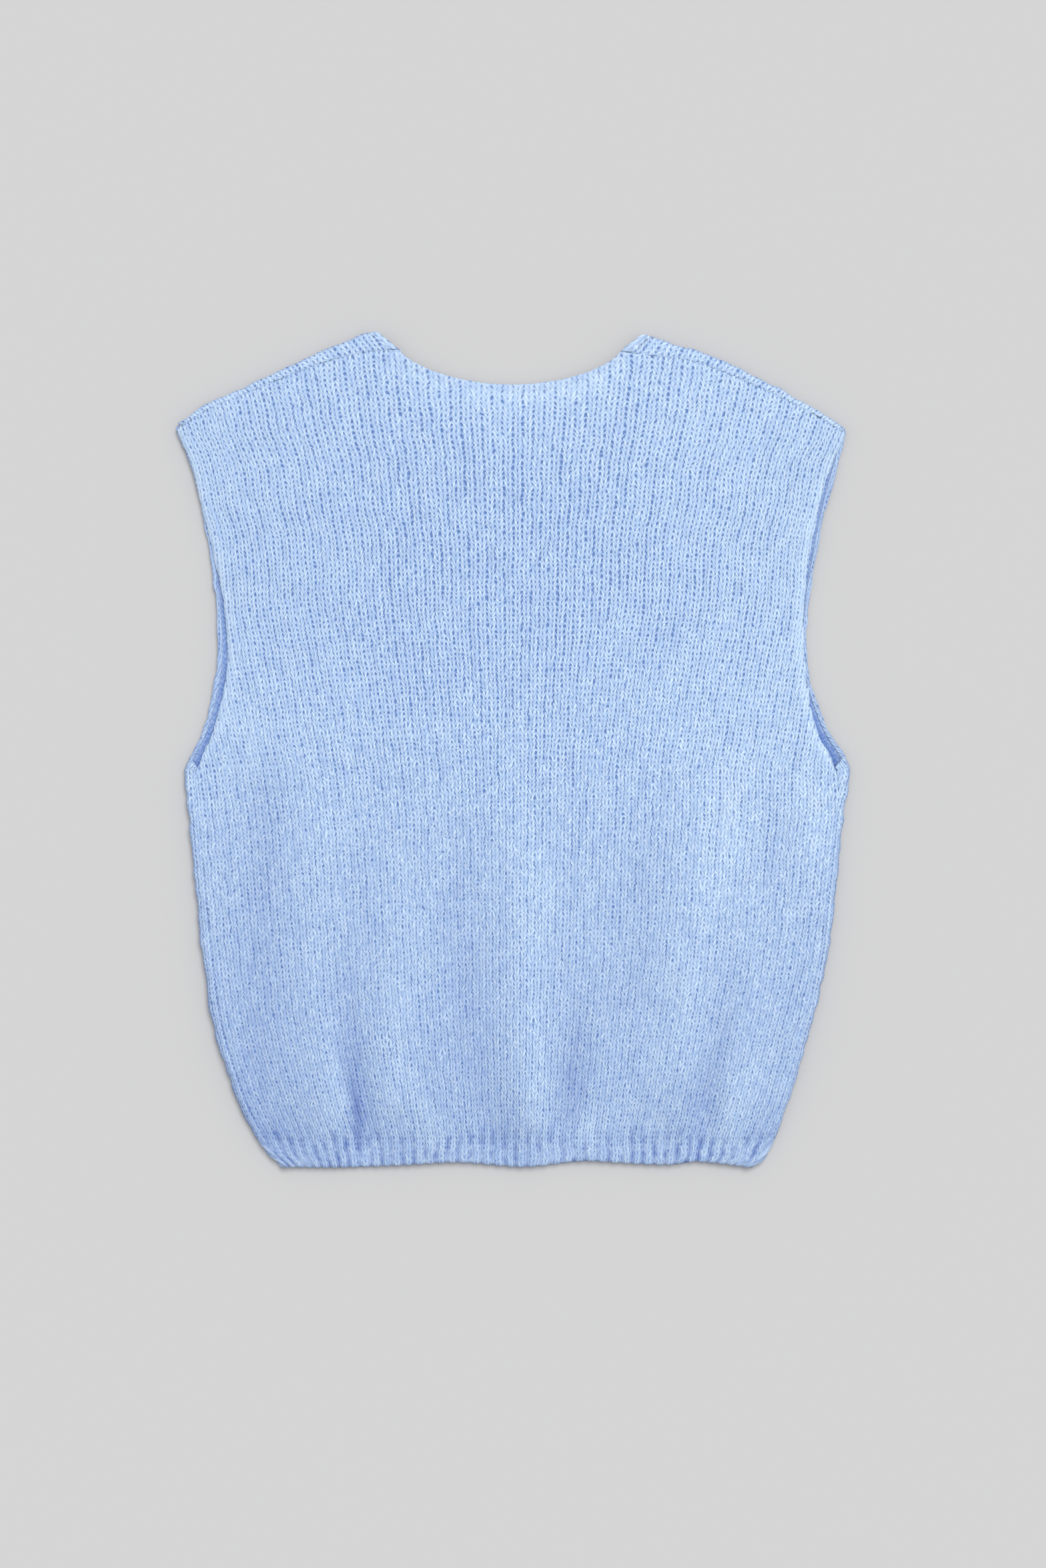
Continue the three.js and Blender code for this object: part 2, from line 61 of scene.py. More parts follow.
sideFold = {
    "height": [0, 4, 9, 14, 24, 46, 70, 94, 118, 154, 190, 238, 272, 286],
    "left": [166, 169.5, 175.5, 179.5, 185.8, 196.8, 205.4, 213.2, 218.4, 223.2, 227, 231.8, 235, 236.4],
    "right": [171, 178, 182.5, 184.8, 189.4, 197.3, 205, 211.6, 218.4, 226.2, 230.6, 235.9, 240.2, 241.9],
    "insetleft": [5.2, 5.2, 5.4, 5.6, 6, 6.4, 6.6, 6.8, 7, 7.4, 7.6, 7.6, 7.6, 9.4],
    "insetright": [5.2, 5.2, 5.4, 5.6, 5.8, 6, 6.2, 6.2, 6.2, 6, 6, 6.4, 7, 10.6],
}
armhole = {
    "height": [286, 298, 310, 322, 346, 370, 406, 442, 478, 502, 518, 530],
    "left": [236.4, 231.4, 225.1, 220.8, 215, 212, 214.2, 218.1, 225.1, 231, 236.6, 242],
    "right": [241.9, 237.2, 229.2, 223.4, 215, 211.3, 213.1, 218.9, 226.1, 232.8, 237, 240.5],
    "insetleft": [9.4, 9, 8.2, 7.8, 7.5, 6.9, 5.8, 2.4, 0.4, 0, 0, 0],
    "insetright": [10.6, 10.8, 9.2, 7.6, 3.4, 2.3, 3.6, 5.4, 5.3, 4.8, 2, 0],
}
shoulderFold = {
    "across": [92, 100, 110, 136, 162, 190, 218, 242],
    "left": [602, 600.6, 597.8, 587.2, 576, 562.8, 549.6, 534],
    "right": [600, 597.4, 593.8, 585.6, 574.2, 560.4, 544.6, 529],
}
shoulderSeam = {
    "share": [0, 0.17, 0.36, 0.55, 0.74, 0.9, 1],
    "drop": [4.4, 4.8, 6.4, 7.2, 8.2, 11.4, 14],
    "shift": [0, 0.4, 0.8, 1.6, 4, 10.5, 17],
}
shoulderEnds = {"tip": {"left": 242, "right": 240.5}, "neck": {"left": 97.9, "right": 93.1}}
neck = {
    "binding": 5.2,
    "backDrop": 23.5,
    "frontDrop": 104,
    "backPower": 0.72,
    "frontPower": 2.3,
    "share": 0.964,  # of the shoulder, where the panels' own neck edge starts
}
hemEdge = {
    "across": [-166, -122, -76, -38, 8, 50, 80, 111, 129, 171],
    "rise": [0.4, 0.2, 2, 3.8, 0.6, 4.8, 3.2, 2.2, 4.4, 0],
}
loft = {
    "height": [0, 21, 50, 90, 150, 230, 300, 610],
    "radius": [3.7, 4, 4.7, 5, 4.6, 4.1, 3.8, 3.8],
    "puff": [0, 1.6, 4.4, 4.8, 3, 1.2, 0.2, 0],
}
# Folds gathered by the welt: x at the welt and at the top, height of the top, half widths there, and rise
gathers = [
    (-177, -180, 330, 13, 20, -2.4),
    (-134, -139, 290, 11, 22, 3),
    (-108, -121, 185, 7, 12, -6),
    (-76, -76, 250, 15, 25, 3),
    (-16, -36, 310, 12, 20, -3.4),
    (10, 4, 320, 13, 22, 4),
    (36, 50, 170, 8, 14, -6),
    (78, 92, 280, 18, 27, -2.4),
    (120, 138, 300, 9, 20, 3.4),
    (133, 156, 190, 6, 12, -5.6),
    (160, 154, 330, 11, 20, 2.6),
    (186, 184, 290, 13, 18, -2),
]
# Soft folds over those: heights, places across, half width, and strength, which is negative in a hollow.
creases = [
    ((22, 50, 110, 270, 300), (-170, -184, -182, -178, -178), 10, (-1, -0.6, -0.5, -0.8, 0)),
    ((22, 38, 75, 120, 170), (-114, -111, -115, -118, -123), 5.5, (-0.8, -1.5, -1.1, -0.5, 0)),
    ((22, 47, 62, 91), (-109, -112.3, -116.6, -120), 2.6, (-1.5, -1.6, -1, 0)),
    ((22, 47, 62, 91), (-118, -121, -126, -130), 4, (0.6, 0.9, 0.6, 0)),
    ((22, 52, 90, 120, 168, 260), (-8, -22, -31, -32, -37, -33), 9, (-0.7, -0.6, -0.7, -0.7, -0.5, 0)),
    ((26, 52, 72, 92, 125), (36, 41, 43, 46, 50), 7, (-0.8, -1.5, -1.2, -0.9, 0)),
    ((22, 52, 72, 92, 120, 160), (137, 137, 140, 147, 155, 160), 7, (-0.5, -1, -0.7, -0.5, -0.4, 0)),
    ((95, 120, 168, 216, 264, 310), (82, 84, 88, 92, 107, 110), 12, (0, -0.5, -0.4, -0.5, -0.3, 0)),
    ((22, 48, 200, 216, 264, 290), (184, 188, 187, 188, 188, 188), 9, (-0.8, 0, 0, -0.4, -0.4, 0)),
    ((22, 38, 90, 120, 264, 300), (-132, -131, -135, -142, -133, -133), 9, (0.4, 0.6, 0.4, 0.4, 0.4, 0)),
    (
        (22, 38, 52, 90, 120, 168, 250),
        (-57, -66, -79, -84, -80, -75, -80),
        12,
        (1.1, 0.8, 0.9, 0.7, 0.6, 0.4, 0),
    ),
    ((26, 52, 90, 168, 216, 264, 300), (25, 17, 13, 11, 15, 1, 0), 10, (0.6, 0.9, 0.8, 0.7, 0.7, 0.4, 0)),
    ((22, 32, 46), (50, 54, 60), 7, (1.3, 0.7, 0)),
    ((22, 38, 52, 72, 95), (150, 157, 161, 173, 176), 8, (0.8, 0.9, 1, 0.5, 0)),
    (
        (58, 75, 120, 168, 216, 264, 310),
        (110, 115, 127, 131, 150, 155, 156),
        12,
        (0, 0.5, 0.4, 0.4, 0.7, 0.8, 0),
    ),
    ((195, 216, 264, 300), (214, 217, 217, 217), 8, (0, 0.3, 0.7, 0)),
]
swell = {
    "layerRoom": 0.6,
    "edgeBand": (4, 46),  # from the outline in to where the back lies on the front
    "gatherBand": (6, 30),
    "creaseBand": (3, 14),
    "creaseDepth": 1.1,
    "creaseStart": (4, 24),
    "hemShare": 0.12,  # of a gathered fold, left at the hem
    "hemBand": (0, 48),
}
neckSag = {"x": -3, "height": 572, "halfWidth": 68, "halfHeight": 50, "depth": 2.6}
# How the light falls off towards the hem and to the left, and into the creases
dusk = {
    "height": [0, 24, 52, 92, 168, 216, 264, 320],
    "shade": [0.19, 0.19, 0.17, 0.16, 0.13, 0.1, 0.05, 0],
    "left": 0.07,
    "halfWidth": 200,
    "crease": 0.14,
}

# Stitches: wales run up the vest and rows across it. A wale's legs slant more higher up.
gauge = {"wales": 44, "row": 3.89, "slantLow": 1.0, "slantHigh": 1.4, "slantFrom": 60, "slantTo": 112}
# reach is where the 44th wale from the middle would lie, and bulge moves the wales between outwards
waleSpread = {
    "height": [-10, 21, 106, 190, 240, 286, 312, 336, 370, 406, 432, 456, 475, 504, 528, 560, 610],
    "reach": [
        160, 180, 209, 221, 225, 230.5, 235, 239, 244, 246, 247.2, 249.6, 254.9, 261.1, 272.6, 284, 300
    ],
    "bulge": [0, 0, 0, 0, 0, 0.02, 0.04, 0.05, 0.08, 0.13, 0.14, 0.15, 0.166, 0.172, 0.18, 0.18, 0.18],
    "sideBand": (300, 245),  # below these heights the wales follow the side seams
}
rowArch = {"height": [0, 21, 90, 200, 330, 640], "drop": [0, 0, 5, 12, 17, 18]}


# Smooth value of a table's column at places along its key column
def readTable(table, name, place, key="height"):
    xs = np.asarray(table[key], float)
    ys = np.asarray(table[name], float)
    slopes = np.empty_like(xs)
    slopes[1:-1] = (ys[2:] - ys[:-2]) / (xs[2:] - xs[:-2])
    slopes[0] = (ys[1] - ys[0]) / (xs[1] - xs[0])
    slopes[-1] = (ys[-1] - ys[-2]) / (xs[-1] - xs[-2])
    at = np.clip(place, xs[0], xs[-1])
    n = np.clip(np.searchsorted(xs, at, side="right") - 1, 0, len(xs) - 2)
    span = xs[n + 1] - xs[n]
    t = (at - xs[n]) / span
    return (
        ys[n] * (2 * t**3 - 3 * t**2 + 1)
        + ys[n + 1] * (3 * t**2 - 2 * t**3)
        + slopes[n] * span * (t**3 - 2 * t**2 + t)
        + slopes[n + 1] * span * (t**3 - t**2)
    )


def mix(a, b, share):
    return a + (b - a) * share


def smoothStep(x, low, high):
    t = np.clip((np.asarray(x, float) - low) / (high - low), 0, 1)
    return t * t * (3 - 2 * t)


noiseKnots = 256


# Smooth noise from -1 to 1 with one knot for each whole number of a and b
def softNoise(a, b, seed):
    knots = np.random.default_rng(seed).uniform(-1, 1, (noiseKnots, noiseKnots))
    ia, ib = np.floor(a).astype(int), np.floor(b).astype(int)
    fa, fb = smoothStep(a - ia, 0, 1), smoothStep(b - ib, 0, 1)
    at = lambda i, j: knots[i % noiseKnots, j % noiseKnots]
    return mix(mix(at(ia, ib), at(ia + 1, ib), fa), mix(at(ia, ib + 1), at(ia + 1, ib + 1), fa), fb)


def byHeight(name, height):
    height = np.asarray(height, float)
    low = readTable(sideFold, name, height)
    high = readTable(armhole, name, height)
    return np.where(height <= cloth["underarm"], low, high)


def outline(side, height):
    return outward[side] * byHeight(side, height)


def sideInset(side, height):
    return np.maximum(0, byHeight("inset" + side, height))


def foldRadius(height):
    return readTable(loft, "radius", height)


def shoulderFoldPoint(side, share):
    across = mix(shoulderEnds["tip"][side], shoulderEnds["neck"][side], np.asarray(share, float))
    return outward[side] * across, readTable(shoulderFold, side, across, key="across")


def shoulderSeamPoint(side, share):
    x, y = shoulderFoldPoint(side, share)
    x = x - outward[side] * readTable(shoulderSeam, "shift", share, key="share")
    return x, y - readTable(shoulderSeam, "drop", share, key="share")


def neckCurve(left, right, drop, fullness, u):
    t = (np.asarray(u, float) + 1) / 2
    return mix(left[0], right[0], t), mix(left[1], right[1], t) - drop * fullness(u)


def backFullness(u):
    return np.maximum(0, 1 - np.asarray(u) ** 2) ** neck["backPower"]


def frontFullness(u):
    power = neck["frontPower"]
    return np.maximum(0, 1 - np.abs(u) ** power) ** (1 / power)


# The back neck's finished edge, or the panel's edge below the binding
def backNeck(u, panel=False):
    place = neck["share"] if panel else 1.0
    drop = neck["backDrop"] + (neck["binding"] if panel else 0)
    ends = [shoulderSeamPoint(side, place) for side in sides]
    return neckCurve(*ends, drop, backFullness, u)


# From -1 to 1, with the steps closer together at the ends
def roundSteps(count):
    return -np.cos(np.pi * np.linspace(0, 1, count))


seamShares = np.linspace(0, neck["share"], 90)
backTopLine = np.hstack(
    [
        shoulderSeamPoint("left", seamShares),
        [p[1:-1] for p in backNeck(roundSteps(121), panel=True)],
        [p[::-1] for p in shoulderSeamPoint("right", seamShares)],
    ]
)


def gatherRise(x, height):
    rise = 0
    for atWelt, atTop, top, weltWidth, topWidth, amount in gathers:
        share = np.clip((height - cloth["ribTop"]) / (top - cloth["ribTop"]), 0, 1)
        centre, width = mix(atWelt, atTop, share), mix(weltWidth, topWidth, share)
        rise = rise + amount * (1 - smoothStep(share, 0.1, 1)) * np.exp(-(((x - centre) / width) ** 2) / 2)
    return rise * mix(swell["hemShare"], 1, smoothStep(height, *swell["hemBand"]))


def creaseAt(x, height):
    total = 0
    for heights, places, width, strengths in creases:
        centre, strength = np.interp(height, heights, places), np.interp(height, heights, strengths)
        total = total + strength * np.exp(-(((x - centre) / width) ** 2) / 2)
    return total * smoothStep(height, *swell["creaseStart"])


# Height of the back's upper face above the surface, without its stitches
def backTop(x, height):
    lower = np.minimum(height, cloth["tip"])
    fromEdge = np.minimum(x - outline("left", lower), outline("right", lower) - x)
    inner = smoothStep(fromEdge, *swell["edgeBand"])
    stack = 2 * cloth["thickness"] + cloth["layerGap"]
    raised = mix(2 * foldRadius(height), stack + swell["layerRoom"], inner)
    raised = raised + readTable(loft, "puff", height) * inner
    raised = raised + gatherRise(x, height) * smoothStep(fromEdge, *swell["gatherBand"])
    creased = swell["creaseDepth"] * creaseAt(x, height)
    raised = raised + creased * smoothStep(fromEdge, *swell["creaseBand"])
    across = (x - neckSag["x"]) / neckSag["halfWidth"]
    along = (height - neckSag["height"]) / neckSag["halfHeight"]
    return np.maximum(raised, stack) - neckSag["depth"] * np.maximum(0, 1 - across**2 - along**2)


# Where wale u and row v lie in plan
def clothPoint(u, v):
    s = u / gauge["wales"]
    centre = cloth["ribTop"] + gauge["row"] * v
    height = centre - readTable(rowArch, "drop", centre) * s**2
    reach = readTable(waleSpread, "reach", height)
    lower = smoothStep(height, *waleSpread["sideBand"])
    for side in sides:
        seam = byHeight(side, height) - sideInset(side, height)
        own = mix(reach, seam, lower)
        reach = np.where(np.sign(s) == outward[side], own, reach)
    bulge = readTable(waleSpread, "bulge", height)
    beyond = np.maximum(np.abs(s) - 1, 0)
    s1 = np.clip(s, -1, 1)
    x = reach * (s1 * (1 + bulge * (1 - s1**2)) + np.sign(s) * beyond * (1 - 2 * bulge))
    return x, height


placeSearch = {"pitch": 5.3, "step": 5.6, "rounds": 12}


# The wale and row at a place in plan, the other way round
def clothPlace(x, height):
    u, v = x / placeSearch["pitch"], (height - cloth["ribTop"]) / gauge["row"]
    for _ in range(placeSearch["rounds"]):
        nowX, nowHeight = clothPoint(u, v)
        u = u + (x - nowX) / placeSearch["step"]
        v = v + (height - nowHeight) / gauge["row"]
    return u, v


# How far a stitch's legs have climbed at wale u, in rows. 0 is half way.
def slantOf(u, v):
    steep = mix(gauge["slantLow"], gauge["slantHigh"], smoothStep(v, gauge["slantFrom"], gauge["slantTo"]))
    return steep * (np.abs(u - np.floor(u) - 0.5) * 2 - 0.5)


millimetre = 0.001
shift = np.array([cadLow.x * 1000 + shoulderEnds["tip"]["left"], cadLow.y * 1000, cadLow.z * 1000])


# knit holds each point's wale, row, calm and painted shade, which below zero is painted light. flat is how
# many of the last faces are shaded flat.
def addPiece(name, points, faces, knit, materials, inside=None, flat=0):
    points[:, 2] = np.maximum(points[:, 2], 0)
    mesh = bpy.data.meshes.new(name)
    mesh.from_pydata(((points + shift) * millimetre).tolist(), [], faces)
    knit = np.asarray(knit, np.float32)
    for label, kind, key, values in (
        ("knit", "FLOAT_VECTOR", "vector", knit[:, :3].ravel()),
        ("shade", "FLOAT", "value", np.ascontiguousarray(knit[:, 3])),
    ):
        mesh.attributes.new(label, kind, "POINT").data.foreach_set(key, values)
    for material in materials:
        mesh.materials.append(material)
    if inside is not None:
        mesh.polygons.foreach_set("material_index", np.asarray(inside, np.int32))
    smooth = np.ones(len(faces), bool)
    smooth[len(faces) - flat :] = False
    mesh.polygons.foreach_set("use_smooth", smooth)
    mesh.validate()
    piece = bpy.data.objects.new(name, mesh)
    scene.collection.objects.link(piece)
    triangles = sum(len(f) - 2 for f in faces)
    print(name, triangles, "triangles, lowest point", round(float(points[:, 2].min()), 2))
    return piece


# Knitted yarn
def feed(tree, sockets, values):
    for socket, value in zip(sockets, values):
        if isinstance(value, bpy.types.NodeSocket):
            tree.links.new(value, socket)
        else:
            socket.default_value = value


def numberNode(tree, operation, *values, clamp=False):
    node = tree.nodes.new("ShaderNodeMath")
    node.operation = operation
    node.use_clamp = clamp
    feed(tree, node.inputs, values)
    return node.outputs[0]


def stepNode(tree, *values):
    node = tree.nodes.new("ShaderNodeMapRange")
    node.interpolation_type = "SMOOTHSTEP"
    feed(tree, node.inputs, values)
    return node.outputs[0]


def vectorNode(tree, x, y, z=0.0):
    node = tree.nodes.new("ShaderNodeCombineXYZ")
    feed(tree, node.inputs, (x, y, z))
    return node.outputs[0]


def noiseNode(tree, vector, detail, roughness):
    node = tree.nodes.new("ShaderNodeTexNoise")
    sockets = [node.inputs[name] for name in ("Vector", "Scale", "Detail", "Roughness")]
    feed(tree, sockets, (vector, 1.0, detail, roughness))
    return node.outputs["Fac"]


def colourMix(tree, a, b, factor):
    node = tree.nodes.new("ShaderNodeMix")
    node.data_type = "RGBA"
    feed(tree, (node.inputs[0], node.inputs[6], node.inputs[7]), (factor, a, b))
    return node.outputs[2]


# A pair below higherUp is the value low down and what is added to it higher up
yarn = {
    "light": (0.685, 0.845, 0.985, 1),
    "mid": (0.46, 0.645, 0.94, 1),
    "slub": (0.63, 0.73, 0.95, 1),
    # dark is painted shade in the stitches' gaps, with random darker fibres; inside and hollow are painted
    # shade, and the white one below them is painted light on ridges
    "dark": (0.15, 0.255, 0.54, 1),
    "inside": (0.055, 0.14, 0.46, 1),
    "hollow": (0.04, 0.1, 0.4, 1),
    "paintedHighlight": (1.0, 1.0, 1.0, 1),
    "roughness": 0.95,
    "specular": 0.12,
    "sheen": 0.05,
    "sheenRoughness": 0.6,
    "relief": 0.0004,
    "higherUp": (50, 110),  # in rows
    "wander": (1.0, -0.4),
    "outOfStep": 2.6,
    "purlWave": 0.28,
    "holeNarrow": 5.8,
    "holeLow": 2.9,
    "holeSoft": 1.25,
    "holeRadius": (1.5, 0.3),
    "holeDepth": (0.3, 0.3),
    "innerRadius": 0.8,
    "innerDepth": (0.15, 0.27),
    "lineDepth": (0.4, -0.1),
    "fibreDepth": (0.9, -0.3),
    "fuzzDepth": 0.8,
    "legDepth": (0.3, -0.08),
    "calmed": 0.72,
    "darker": 0.11,
}


def yarnMaterial(name, purl=False):
    material = bpy.data.materials.new(name)
    material.use_nodes = True
    tree = material.node_tree
    shader = tree.nodes["Principled BSDF"]
    place = tree.nodes.new("ShaderNodeAttribute")
    place.attribute_name = "knit"
    shade = tree.nodes.new("ShaderNodeAttribute")
    shade.attribute_name = "shade"
    parts = tree.nodes.new("ShaderNodeSeparateXYZ")
    tree.links.new(place.outputs["Vector"], parts.inputs[0])
    u, v, calm = parts.outputs

    def calc(operation, *values, clamp=False):
        return numberNode(tree, operation, *values, clamp=clamp)

    def times(first, *rest):
        return calc("MULTIPLY", first, rest[0] if len(rest) == 1 else times(*rest))

    def plus(first, *rest):
        return calc("ADD", first, rest[0] if len(rest) == 1 else plus(*rest))

    def minus(a, b, clamp=False):
        return calc("SUBTRACT", a, b, clamp=clamp)

    def step(value, low, high, outLow=0.0, outHigh=1.0):
        return stepNode(tree, value, low, high, outLow, outHigh)

    def noise(a, b, c, detail=2.0, rough=0.5):
        return noiseNode(tree, vectorNode(tree, a, b, c), detail, rough)

    # The yarn wanders a little from its place, and each wale's rows are a little out of step
    upper = step(v, *yarn["higherUp"])

    def paired(name):
        low, change = yarn[name]
        return plus(low, times(upper, change))

    loose = paired("wander")

    def drift(a, b, c, size):
        return times(minus(noise(times(u, a), times(v, b), c), 0.5), loose, size)

    sway = drift(0.9, 0.7, 0.0, 0.2)
    outOfStep = noise(times(calc("FLOOR", plus(u, sway)), 1.7), times(v, 0.16), 5.0, 1.0)
    outOfStep = times(outOfStep, loose, yarn["outOfStep"])
    uw = plus(u, sway, drift(3.3, 2.4, 21.0, 0.34))
    vw = plus(v, drift(0.8, 0.6, 7.0, 0.7), outOfStep, drift(3.0, 2.2, 27.0, 0.7))

    # A stitch's two legs lean out from the middle of the wale
    spread = times(calc("ABSOLUTE", minus(calc("FRACT", uw), 0.5)), 2.0)
    slant = step(v, gauge["slantFrom"], gauge["slantTo"], gauge["slantLow"], gauge["slantHigh"])
    climb = times(minus(spread, 0.5), slant)
    if purl:
        climb = times(calc("COSINE", times(uw, 2 * math.pi)), yarn["purlWave"])
    row = minus(vw, climb)

    def fromLeg(value):
        return calc("ABSOLUTE", minus(times(calc("FRACT", value), 2.0), 1.0))

    white = tree.nodes.new("ShaderNodeTexWhiteNoise")
    white.noise_dimensions = "2D"
    leg = vectorNode(tree, calc("FLOOR", times(uw, 2.0)), calc("FLOOR", row))
    tree.links.new(leg, white.inputs["Vector"])
    chance = white.outputs["Value"]
    valley = calc("FLOOR", plus(uw, 0.5))
    gapChance = noise(times(valley, 3.7), times(vw, 0.8), 4.0, 1.0)
    lines = noise(times(valley, 2.3), times(vw, 0.09), 9.0, 1.0)
    patches = noise(times(u, 0.1), times(v, 0.09), 11.0, 3.0)
    fibres = noise(times(uw, 1.6), times(row, 4.0), 0.0, 3.0, 0.6)
    fuzz = noise(times(uw, 6.0), times(vw, 4.4), 17.0, 3.0, 0.65)
    slubs = noise(times(uw, 0.9), times(row, 0.8), 3.0, 2.0)

    def wave(value):
        return minus(0.5, times(calc("COSINE", times(value, math.pi)), 0.5))

    # Plump legs: their shape makes the bumps and also paints shade where they meet
    beside = wave(minus(times(spread, 2.0), 1.0))
    beside = 0.0 if purl else times(beside, beside)
    above = wave(fromLeg(row))
    body = minus(1.0, plus(times(beside, 0.5), times(above, 0.45)))
    body = times(body, plus(0.75, times(slubs, 0.5)))
    quiet = calc("MULTIPLY", calm, 0.9, clamp=True)
    body = plus(times(body, minus(1.0, quiet)), times(quiet, 0.75))
    height = plus(body, times(fibres, 0.3), times(fuzz, 0.4))

    def holes(fromLine, rows, radius):
        wide = times(fromLine, yarn["holeNarrow"])
        tall = times(minus(1.0, fromLeg(rows)), yarn["holeLow"])
        away = calc("SQRT", plus(times(wide, wide), times(tall, tall)))
        return step(calc("DIVIDE", away, radius), yarn["holeSoft"], 0.0)

    # Painted shade: in holes beside the wales, in smaller ones in their middle, and in lines along some
    # wales
    hole, inner, line = 0.0, 0.0, 0.0
    between = times(above, 0.5 if purl else plus(0.15, times(chance, 0.28)))
    if not purl:
        holeSize = calc("ADD", plus(times(gapChance, 3.4), times(lines, 1.6)), -2.1, clamp=True)
        halfSlant = times(slant, 0.5)
        radius = plus(paired("holeRadius"), times(holeSize, 0.9))
        hole = holes(minus(1.0, spread), minus(vw, halfSlant), radius)
        hole = times(hole, plus(paired("holeDepth"), times(holeSize, 0.75)))
        inner = holes(spread, plus(vw, halfSlant), plus(yarn["innerRadius"], times(chance, 1.6)))
        inner = times(inner, paired("innerDepth"))
        line = times(beside, plus(0.08, times(lines, paired("lineDepth"))))
    fibreDark = times(minus(0.5, fibres), paired("fibreDepth"))
    fuzzDark = times(minus(0.5, fuzz), yarn["fuzzDepth"])
    legDark = times(minus(0.5, chance), paired("legDepth"))
    depth = plus(hole, inner, plus(line, between), fibreDark)
    depth = plus(depth, fuzzDark, legDark)
    depth = calc("MULTIPLY", depth, minus(1.0, times(calm, yarn["calmed"])), clamp=True)

    # Painted light and shade: legs lighter on their crowns and darker where they meet, with random tone per
    # leg and in patches
    tone = plus(times(body, 0.6), times(chance, 0.5), times(patches, 0.08), times(calm, 0.15))
    tone = minus(tone, yarn["darker"], clamp=True)
    paintedShadeAndLight = shade.outputs["Fac"]
    colour = colourMix(tree, yarn["mid"], yarn["light"], tone)
    colour = colourMix(tree, colour, yarn["slub"], step(slubs, 0.5, 0.7, 0.0, 0.35))
    # Painted shade in the holes and between the legs, with random darker fibres and fuzz
    colour = colourMix(tree, colour, yarn["dark"], depth)
    # Painted shade from the shade attribute: the inner colour on the lining, the hollow colour on the face
    # where it is positive, and a painted highlight where it is negative
    if purl:
        colour = colourMix(tree, colour, yarn["inside"], times(paintedShadeAndLight, step(fuzz, 0.8, 0.3, 0.6, 1.0)))
    else:
        colour = colourMix(tree, colour, yarn["hollow"], calc("MAXIMUM", paintedShadeAndLight, 0.0))
        colour = colourMix(tree, colour, yarn["paintedHighlight"], calc("MAXIMUM", times(paintedShadeAndLight, -1.0), 0.0))
    tree.links.new(colour, shader.inputs["Base Color"])
    shader.inputs["Roughness"].default_value = yarn["roughness"]
    shader.inputs["Specular IOR Level"].default_value = yarn["specular"]
    shader.inputs["Sheen Weight"].default_value = yarn["sheen"]
    shader.inputs["Sheen Roughness"].default_value = yarn["sheenRoughness"]
    bump = tree.nodes.new("ShaderNodeBump")
    bump.inputs["Strength"].default_value = 1.0
    bump.inputs["Distance"].default_value = yarn["relief"]
    tree.links.new(height, bump.inputs["Height"])
    tree.links.new(bump.outputs[0], shader.inputs["Normal"])
    return material


knitFace = yarnMaterial("knit_face")
purlFace = yarnMaterial("purl_face", purl=True)
print("materials made")


# The four corners of every cell of a grid
def cellCorners(grid):
    return [grid[:-1, :-1], grid[1:, :-1], grid[1:, 1:], grid[:-1, 1:]]


# A lattice of wales and rows trimmed to an outline. Corners just outside are drawn in onto it.
def clipLattice(uLines, vLines, isInside):
    u, v = np.meshgrid(uLines, vLines, indexing="ij")
    within = isInside(u, v)
    cells = np.any(cellCorners(within), axis=0)
    used = np.zeros_like(within)
    for corner in cellCorners(used):
        corner |= cells
    rim = used & ~within
    sums = np.zeros(u.shape + (3,))
    for steps in (((1, 0), (-1, 0), (0, 1), (0, -1)), ((1, 1), (1, -1), (-1, 1), (-1, -1))):
        found = np.zeros(u.shape + (3,))
        for a, b in steps:
            i, j = np.nonzero(rim & np.roll(within, (-a, -b), (0, 1)))
            ni, nj = i + a, j + b
            low, high = np.zeros(len(i)), np.ones(len(i))
            for _ in range(14):
                half = (low + high) / 2
                hit = isInside(mix(u[i, j], u[ni, nj], half), mix(v[i, j], v[ni, nj], half))
                high, low = np.where(hit, half, high), np.where(hit, low, half)
            edgeU, edgeV = mix(u[i, j], u[ni, nj], high), mix(v[i, j], v[ni, nj], high)
            found[i, j] += np.stack([edgeU, edgeV, np.ones(len(i))], -1)
        empty = sums[..., 2] == 0
        sums[empty] = found[empty]
    moved = rim & (sums[..., 2] > 0)
    u, v = u.copy(), v.copy()
    u[moved] = sums[moved][:, 0] / sums[moved][:, 2]
    v[moved] = sums[moved][:, 1] / sums[moved][:, 2]
    number = np.full(u.shape, -1)
    number[used] = np.arange(used.sum())
    return u[used], v[used], np.stack([corner[cells] for corner in cellCorners(number)], -1)


# A mesh's open edges, each with its face on the left
def openEdges(quads):
    edges = np.concatenate([quads[:, [k, (k + 1) % 4]] for k in range(4)])
    there = {tuple(e) for e in edges.tolist()}
    return [(a, b) for a, b in there if (b, a) not in there]


def borderLoop(quads):
    after = dict(openEdges(quads))
    start = min(after)
    loop = [start]
    while after[loop[-1]] != start:
        loop.append(after[loop[-1]])
    return loop


# Triangles that join two loops which run the same way round. The second's points are numbered on from
# the first's.
def zipLoops(first, firstLoop, second, secondLoop):
    a = [first[n] for n in firstLoop]
    start = int(np.argmin([math.dist(a[0], second[n]) for n in secondLoop]))
    secondLoop = secondLoop[start:] + secondLoop[:start]
    b = [second[n] for n in secondLoop]
    base = len(first)
    faces, i, j = [], 0, 0
    while i < len(a) or j < len(b):
        nextA, nextB = (i + 1) % len(a), (j + 1) % len(b)
        top, low = firstLoop[i % len(a)], secondLoop[j % len(b)] + base
        nearer = math.dist(a[nextA], b[j % len(b)]) < math.dist(a[i % len(a)], b[nextB])
        if j >= len(b) or (i < len(a) and nearer):
            faces.append([top, low, firstLoop[nextA]])
            i += 1
        else:
            faces.append([top, low, secondLoop[nextB] + base])
            j += 1
    return faces


stitchForm = {"rise": 0.35, "valley": 0.85, "cleft": 0.25, "ridge": 0.3, "uneven": 0.4, "wavy": 0.4}


